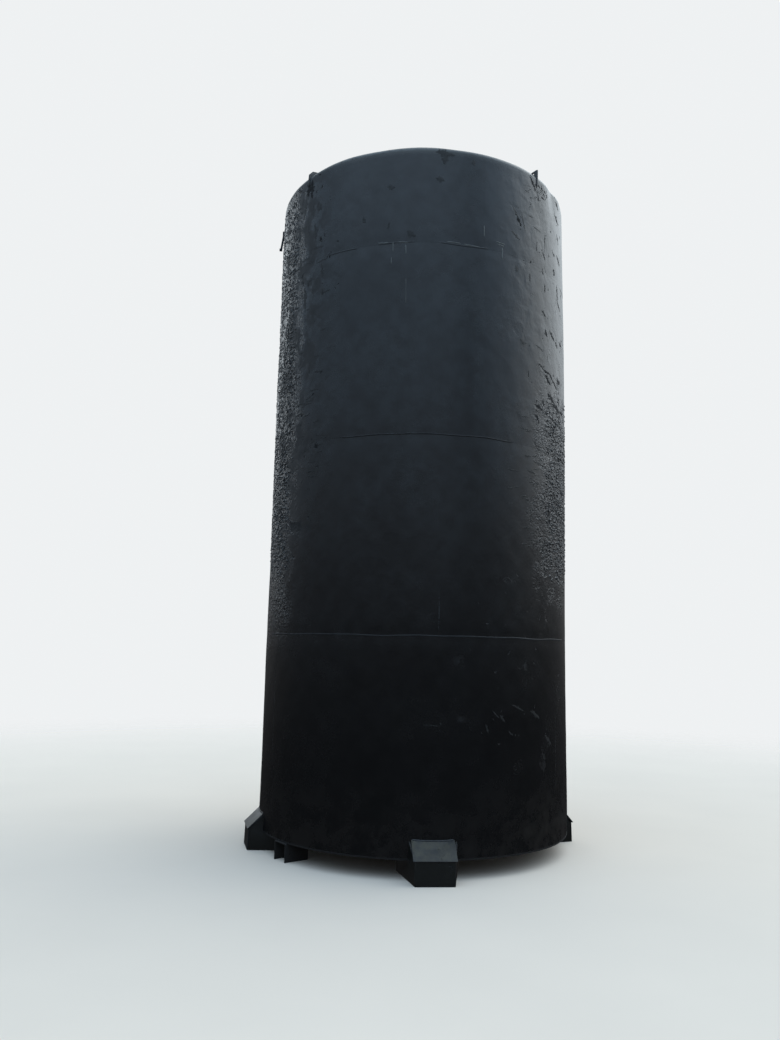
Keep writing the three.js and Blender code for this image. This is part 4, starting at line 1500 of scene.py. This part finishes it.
def hinge_post():
    bend, strap_top = 0.010, STRAP_UNDER + 0.008
    foot = [
        (radius, float(roof_height(HINGE_AZIMUTH, radius)))
        for radius in (POST_INSIDE, POST_OUTSIDE)
    ]
    outline = [
        *foot,
        *arc(POST_OUTSIDE - bend, strap_top - bend, bend, (0, 22, 45, 68, 90)),
        (STRAP_END, strap_top),
        (STRAP_END, STRAP_UNDER),
        (POST_INSIDE - 0.002, STRAP_UNDER),
        (POST_INSIDE, STRAP_UNDER - 0.002),
    ]
    mesh = flat_plate(outline, 0.060, turned(HINGE_AZIMUTH), 0.0014)
    return place_piece("hinge_post", mesh, "roof", ["lid_hinge_post"])


hinge_post()
print("hinge post reaches out to", round(POST_OUTSIDE, 3), "m")

# %% [markdown]
# ## The lid's handle
# A round bar bent to an arch. A bar could be a curve with a round bevel, but its ends must
# stay inside the frame's box, so the section is swept along its own path here.

# %% Handle
ROD = 0.007  # radius of the handle's bar
LID_FALL = 0.005 / 0.180  # slope of the lid's top round its middle


def bar(pile, path, radius, sides=14):
    """A round bar along a path in one upright plane, with flat ends."""
    path = np.asarray(path, float)
    ahead_of = unit(np.gradient(path, axis=0))
    across = np.tile((1.0, 0.0, 0.0), (len(path), 1))
    lift = np.cross(across, ahead_of)
    angles = np.arange(sides) * 2 * math.pi / sides
    rings = [path + radius * (math.cos(a) * across + math.sin(a) * lift) for a in angles]
    pile.add(np.stack(rings, axis=1).reshape(-1, 3), rod_faces(len(path), sides))


def handle():
    half, rise, bend = 0.080, 0.062, 0.028
    foot = LID_TOP + LID_CROWN - LID_FALL * (half - ROD) + 0.0003
    top = foot + rise
    corners = arc(bend - half, top - bend, bend, np.linspace(180, 90, 9))
    corners += arc(half - bend, top - bend, bend, np.linspace(90, 0, 9))
    path = [(0, y, z) for y, z in [(-half, foot - 0.004), *corners, (half, foot - 0.004)]]
    pile = Pile()
    bar(pile, path, ROD)
    pile.place("handle", "bar", ["lid_handle"], sharp=50)
    beads = Pile()
    turn = np.linspace(0, 2 * math.pi, 24, endpoint=False)
    upwards = np.tile((0.0, 0.0, 1.0), (len(turn), 1))
    for end in (-half, half):
        x, y = 0.0085 * np.cos(turn), end + 0.0085 * np.sin(turn)
        ring = np.stack([x, y, 0 * turn + foot - 0.001], axis=1)
        bead(beads, ring, upwards, 0.006, 0.003, closed=True, seed=240, sunk=0.001)
    beads.place_beads("handle_beads")
    return top


print("handle's top is at", round(handle() + ROD, 4), "m")


# %% Welds of the manhole
def manhole_welds():
    pile = Pile()
    azimuths = np.arange(0, 360, 1.2)
    foot, beside = roof_height(azimuths, NECK_RADIUS), NECK_RADIUS + 0.0015
    out = on_wall(azimuths, 0.75, 0.65)
    bead(pile, on_wall(azimuths, beside, foot + 0.001), out, 0.013, 0.004, closed=True, seed=220)
    under = on_wall(azimuths, beside, NECK_TOP - 0.0105)
    bead(pile, under, on_wall(azimuths, 0.7, -0.7), 0.009, 0.003, closed=True, seed=221)
    across = np.linspace(-0.028, 0.028, 12)
    for radius, lean in ((POST_OUTSIDE, 1.0), (POST_INSIDE, -1.0)):
        azimuth = HINGE_AZIMUTH + np.degrees(across / radius)
        height = roof_height(azimuth, radius)
        path = on_wall(azimuth, radius + 0.0005 * lean, height + 0.0005)
        bead(pile, path, on_wall(azimuth, 0.6 * lean, 0.8), 0.009, 0.0035, seed=222)
    return pile.place_beads("manhole_beads")


manhole_welds()
print("manhole welded")

# %% [markdown]
# ## The lifting lugs
# Four plates stand on edge over the rim and run a hand's breadth down the wall. Two are cut
# square with a clipped corner, two taper to a horn and have an eye. The foot of each follows
# the rim as it really is, so the plate is cut along the same arc as the rim.

# %% Lugs
LUG_PLACES = {"front_left": -48.8, "front_right": 47.6, "rear_right": 131.2, "rear_left": -132.4}
TAPERED_LUGS = ("front_right", "rear_left")
LUG_EDGES = {  # tapered or not: radius and height over the shell's top, from the roof outwards
    False: [(1.112, 0.106), (1.222, 0.084), (1.254, 0.048), (1.258, 0.0)],
    True: [(1.146, 0.066), (1.246, 0.085), (1.259, 0.083), (1.258, 0.0)],
}
LUG_TAILS = {"front_left": 0.050, "front_right": 0.056, "rear_right": 0.110, "rear_left": 0.110}
LUG_FOOT = 1.256  # radius of the tail's lower end
LUG_PLATE = 0.012
EYE_MIDDLE, EYE_RADIUS = (1.217, 0.059), 0.009


def lug_seat(azimuth, inner, tail):
    """The line where a lug meets the tank, from the foot of its tail up over the rim."""
    sunk = 0.001
    line = []
    for drop in (tail, tail * 0.66, tail * 0.33):
        level = SHELL_TOP - drop
        line.append((SHELL_RADIUS + float(wall_out(azimuth, level)) - sunk, level))
    for turn in np.linspace(0, RIM_TURN, 9):
        radius, height = rim_point(azimuth, turn)
        line.append((float(radius) - sunk * math.cos(math.radians(turn)),
                     float(height) - sunk * math.sin(math.radians(turn))))
    line.append((inner, float(roof_height(azimuth, inner)) - sunk))
    return line


def lug_plate(place_name, azimuth, seat):
    tapered = place_name in TAPERED_LUGS
    tail = LUG_TAILS[place_name]
    foot = LUG_FOOT + float(wall_out(azimuth, SHELL_TOP - tail))
    outer = [(radius, SHELL_TOP + height) for radius, height in LUG_EDGES[tapered]]
    eye = arc(EYE_MIDDLE[0], SHELL_TOP + EYE_MIDDLE[1], EYE_RADIUS, np.arange(0, 360, 15))
    mesh = flat_plate([*seat, *outer, (foot, SHELL_TOP - tail)], LUG_PLATE, turned(azimuth), 0.0015,
                      [eye] if tapered else [])
    place_piece(f"lug_{place_name}", mesh, "lug", [f"lifting_lug_{place_name}"])


def lug_welds(place_name, azimuth, seat):
    """A bead on each side, in the corner between the plate and the rim."""
    beads = Pile()
    whole = np.arange(len(seat))
    fine = np.linspace(0, len(seat) - 1, 60)
    for side in (-1.0, 1.0):
        points, directions = [], []
        for (radius, height), near, far in zip(seat, seat[:1] + seat[:-1], seat[1:] + seat[-1:]):
            along = Vector((far[0] - near[0], far[1] - near[1])).normalized()
            away = Vector((along.y, -along.x))
            across = side * (LUG_PLATE / 2 + 0.0008)
            points.append((radius + away.x * 0.0012, across, height + away.y * 0.0012))
            directions.append((away.x * 0.7, side * 0.7, away.y * 0.7))
        path, out = (
            np.stack([np.interp(fine, whole, column) for column in zip(*rows)], axis=1)
            for rows in (points, directions)
        )
        turned_bead(beads, azimuth, path, out, 0.010, 0.0035, seed=300 + int(azimuth) + int(side))
    beads.place_beads(f"lug_beads_{place_name}")


for place_name, azimuth in LUG_PLACES.items():
    inner = LUG_EDGES[place_name in TAPERED_LUGS][0][0]
    seat = lug_seat(azimuth, inner, LUG_TAILS[place_name])
    lug_plate(place_name, azimuth, seat)
    lug_welds(place_name, azimuth, seat)
print("lugs:", len(LUG_PLACES))

# %% [markdown]
# ## The side clip
# A narrow strap welded to the wall at its top, leaning away to a turned-out foot. Its use
# isn't known. It is cut here as one bent section, as thick as the strap is wide.

# %% Side clip
CLIP_AZIMUTH = -82.0
CLIP_LOW, CLIP_HIGH = 5.056, 5.237


def side_clip():
    back = SHELL_RADIUS + float(wall_out(CLIP_AZIMUTH, CLIP_HIGH)) + 0.0002
    weld_low, thick = CLIP_HIGH - 0.050, 0.017
    front = back + 0.032
    tip = front + 0.008
    outline = [
        (back, CLIP_HIGH),
        (back, weld_low),
        (front - thick, CLIP_LOW + thick + 0.004),
        (front - thick, CLIP_LOW + 0.002),
        (front - thick + 0.002, CLIP_LOW),
        (tip, CLIP_LOW),
        (tip, CLIP_LOW + thick),
        (front + 0.002, CLIP_LOW + thick),
        (front, CLIP_LOW + thick + 0.002),
        (back + thick, weld_low),
        (back + thick, CLIP_HIGH),
    ]
    mesh = flat_plate(outline, 0.022, turned(CLIP_AZIMUTH), 0.0008)
    place_piece("clip", mesh, "bar", ["side_clip"])
    beads = Pile()
    heights = np.linspace(weld_low, CLIP_HIGH, 12)
    for side in (-1.0, 1.0):
        path = np.stack([0 * heights + back + 0.001, 0 * heights + side * 0.0115, heights], axis=1)
        out = np.tile((0.7, side * 0.7, 0.0), (len(heights), 1))
        turned_bead(beads, CLIP_AZIMUTH, path, out, 0.007, 0.003, seed=260)
    beads.place_beads("clip_beads")


side_clip()
print("clip at azimuth", CLIP_AZIMUTH)

# %% [markdown]
# ## The legs
# Four short box legs carry the floor's edge. Each has an outer plate, two sides that spread
# inwards under the floor, and a sloped plate from its knee up to the wall. They aren't
# set evenly, so each has its own azimuth and reach, and the rear one, which the photograph
# doesn't show, repeats the front one. They are separate plates here with softened edges and a
# weld along each corner, because that is how light finds them.

# %% Leg plates
LEGS = {  # azimuth, and how far out the knee is
    "front": (6.7, 1.378), "left": (-74.0, 1.348), "right": (102.0, 1.330), "rear": (186.7, 1.378),
}
LEG_PLATE = 0.010
LEG_HALF = 0.138
LEG_FLARE = 0.2
LEG_BATTER = 0.008
LEG_INNER = 0.960
KNEE, LEG_TOP = 0.160, 0.252
LID_HALF = LEG_HALF + 0.012  # half the width of the sloped plate
TOUCH = 0.0003


def slab(front, back, place, bevel=0.0015):
    """A mesh of a plate between two outlines with the same number of corners."""
    count = len(front)
    tool = bmesh.new()
    corners = [tool.verts.new(place @ Vector(point)) for point in (*front, *back)]
    tool.faces.new(corners[:count])
    tool.faces.new(corners[count:][::-1])
    for i in range(count):
        j = (i + 1) % count
        tool.faces.new((corners[j], corners[i], corners[count + i], corners[count + j]))
    bmesh.ops.recalc_face_normals(tool, faces=tool.faces)
    bmesh.ops.bevel(tool, geom=tool.edges[:], offset=bevel, segments=2, profile=0.6,
                    affect="EDGES", clamp_overlap=True)
    mesh = bpy.data.meshes.new("slab")
    tool.to_mesh(mesh)
    tool.free()
    return mesh


def joined(meshes, name):
    tool = bmesh.new()
    for mesh in meshes:
        tool.from_mesh(mesh)
    whole = bpy.data.meshes.new(name)
    tool.to_mesh(whole)
    tool.free()
    for mesh in meshes:
        bpy.data.meshes.remove(mesh)
    return whole


def wall_at(y):
    """How far out the shell is at a distance to the side of a leg's middle."""
    return math.sqrt((SHELL_RADIUS + TOUCH) ** 2 - y * y)


class LegShape:
    """The planes of one leg, drawn with its outward direction along +X."""

    def __init__(self, reach):
        self.reach = reach
        self.rise, self.run = LEG_TOP - KNEE, reach - SHELL_RADIUS
        self.knee = self.under(self.front_at(KNEE))
        self.meet = wall_at(self.half_at(SHELL_RADIUS))
        self.raised = LEG_PLATE / math.cos(math.atan2(self.rise, self.run))

    def front_at(self, height):
        """How far out the outer plate is at a height."""
        return self.reach + LEG_BATTER * (1 - height / LEG_TOP)

    def half_at(self, x):
        """Half the distance between the sides."""
        return LEG_HALF + (self.reach - x) * LEG_FLARE

    def slope_at(self, x):
        """Height of the sloped plate's underside."""
        return KNEE + (self.reach - x) * self.rise / self.run

    def under(self, x):
        return self.slope_at(x) - TOUCH


def leg_box(leg_name, shape, place):
    """The outer plate and the two sides."""
    foot, knee = shape.front_at(0.0), shape.front_at(shape.knee)
    inner = LEG_PLATE + TOUCH
    side_line = [
        (foot - inner, 0.0),
        (knee - inner, shape.under(knee - inner)),
        (shape.meet, shape.under(shape.meet)),
        (shape.meet, FLOOR_UNDER - TOUCH),
        (LEG_INNER, FLOOR_UNDER - TOUCH),
        (LEG_INNER, 0.0),
    ]
    ends = ((foot, 0.0, -1), (foot, 0.0, 1), (knee, shape.knee, 1), (knee, shape.knee, -1))
    corners = [(x, side * (shape.half_at(x) - 0.0004), z) for x, z, side in ends]
    layers = [[(x - inset, y, z) for x, y, z in corners] for inset in (0.0, LEG_PLATE)]
    meshes = [slab(*layers, place)]
    for side in (-1, 1):
        layers = [
            [(x, side * (shape.half_at(x) - inset), z) for x, z in side_line]
            for inset in (0.0, LEG_PLATE)
        ]
        meshes.append(slab(*layers, place))
    name = f"leg_box_{leg_name}"
    place_piece(name, joined(meshes, name), "leg_side", [f"leg_{leg_name}_wall"], sharp=15)


def leg_lid(leg_name, shape, place):
    """The sloped plate, cut to the curve of the shell."""
    curve = [(wall_at(y), y) for y in np.linspace(LID_HALF, -LID_HALF, 25)]
    shift = LEG_PLATE * math.sin(math.atan2(shape.rise, shape.run))
    layers = []
    for out, lift in ((0.0, 0.0), (shift, shape.raised)):
        lip = shape.reach + 0.006 + out
        layers.append([
            (x, y, shape.slope_at(x) + lift) for x, y in ((lip, -LID_HALF), (lip, LID_HALF), *curve)
        ])
    mesh = slab(*layers, place, 0.0013)
    place_piece(f"leg_lid_{leg_name}", mesh, "leg_top", [f"leg_{leg_name}_top"], sharp=15)


def leg_welds(leg_name, shape, azimuth):
    """Beads along the shell, up the two front corners, and under the sloped plate."""
    beads = Pile()
    across = np.linspace(-LID_HALF + 0.004, LID_HALF - 0.004, 50)
    x = np.array([wall_at(y) for y in across])
    path = np.stack([x + 0.0006, across, shape.slope_at(x) + shape.raised], axis=1)
    out = np.stack([0 * x + 0.8, across / SHELL_RADIUS, 0 * x + 0.5], axis=1)
    turned_bead(beads, azimuth, path, out, 0.013, 0.005, seed=400)
    for side in (-1.0, 1.0):
        z = np.linspace(0.006, shape.knee - 0.004, 28)
        x = shape.front_at(z)
        path = np.stack([x - 0.0045, side * (shape.half_at(x) - 0.0006), z], axis=1)
        out = np.tile((0.2, side, 0.0), (len(z), 1))
        turned_bead(beads, azimuth, path, out, 0.009, 0.0022, seed=410)
        x = np.linspace(shape.reach - 0.003, shape.meet + 0.008, 30)
        path = np.stack([x, side * shape.half_at(x), shape.under(x) - 0.0005], axis=1)
        out = np.tile((0.0, side * 0.8, -0.5), (len(x), 1))
        turned_bead(beads, azimuth, path, out, 0.009, 0.003, seed=420)
    beads.place_beads(f"leg_beads_{leg_name}")


for leg_name, (azimuth, reach) in LEGS.items():
    shape = LegShape(reach)
    leg_box(leg_name, shape, turned(azimuth))
    leg_lid(leg_name, shape, turned(azimuth))
    leg_welds(leg_name, shape, azimuth)
print("legs:", len(LEGS))

# %% [markdown]
# ## The packing block and the floor
# A short piece of channel stands between two legs and packs up the floor's edge. The floor is
# a flat disc, seen only from low down, with the bottom weld round its edge.


# %% Packing block
BLOCK_AZIMUTH, BLOCK_FRONT = -50.0, 1.262


def packing_block():
    half, wall, length, top = 0.075, 0.008, 0.200, FLOOR_UNDER - TOUCH
    inner, under = half - wall, top - wall
    left = [
        (0.003 - inner, under), (-inner, under - 0.003), (-inner, 0.0),
        (-half, 0.0), (-half, top - 0.004), (0.004 - half, top),
    ]
    outline = left[::-1] + [(-x, y) for x, y in left]
    middle = Matrix.Translation((BLOCK_FRONT - length / 2, 0, 0))
    place = turned(BLOCK_AZIMUTH) @ middle @ Matrix.Rotation(math.radians(90), 4, "Z")
    mesh = flat_plate(outline, length, place, 0.001)
    return place_piece("channel_block", mesh, "underside", ["packing_block"])


packing_block()


# %% Floor plate
def floor_plate():
    radii = np.linspace(0.1, SHELL_RADIUS, 12)
    azimuths = np.arange(0, 360, 2.5)
    rings = []
    for radius in radii:
        sag = 0.0006 * np.cos(np.radians(azimuths * 3) + radius * 9)
        sag = sag * min(1, (SHELL_RADIUS - radius) * 4)
        rings.append(on_wall(azimuths, radius, FLOOR_UNDER + np.abs(sag)))
    rings += [on_wall(azimuths, radius, FLOOR_TOP) for radius in radii[::-1]]
    corners = np.concatenate([*rings, [(0, 0, FLOOR_UNDER), (0, 0, FLOOR_TOP)]])
    pile = Pile()
    pile.add(corners, pointed_faces(len(rings), len(azimuths)))
    pile.place("bottom_plate", "underside", ["floor_plate"])
    beads = Pile()
    wall_bead(beads, np.arange(0, 360, 0.4), FLOOR_TOP - 0.001, 0.009, 0.0012, -0.45, 0.0002,
              closed=True, seed=500)
    return beads.place_beads("bottom_bead", "underside")


floor_plate()
print("floor plate and its weld made")
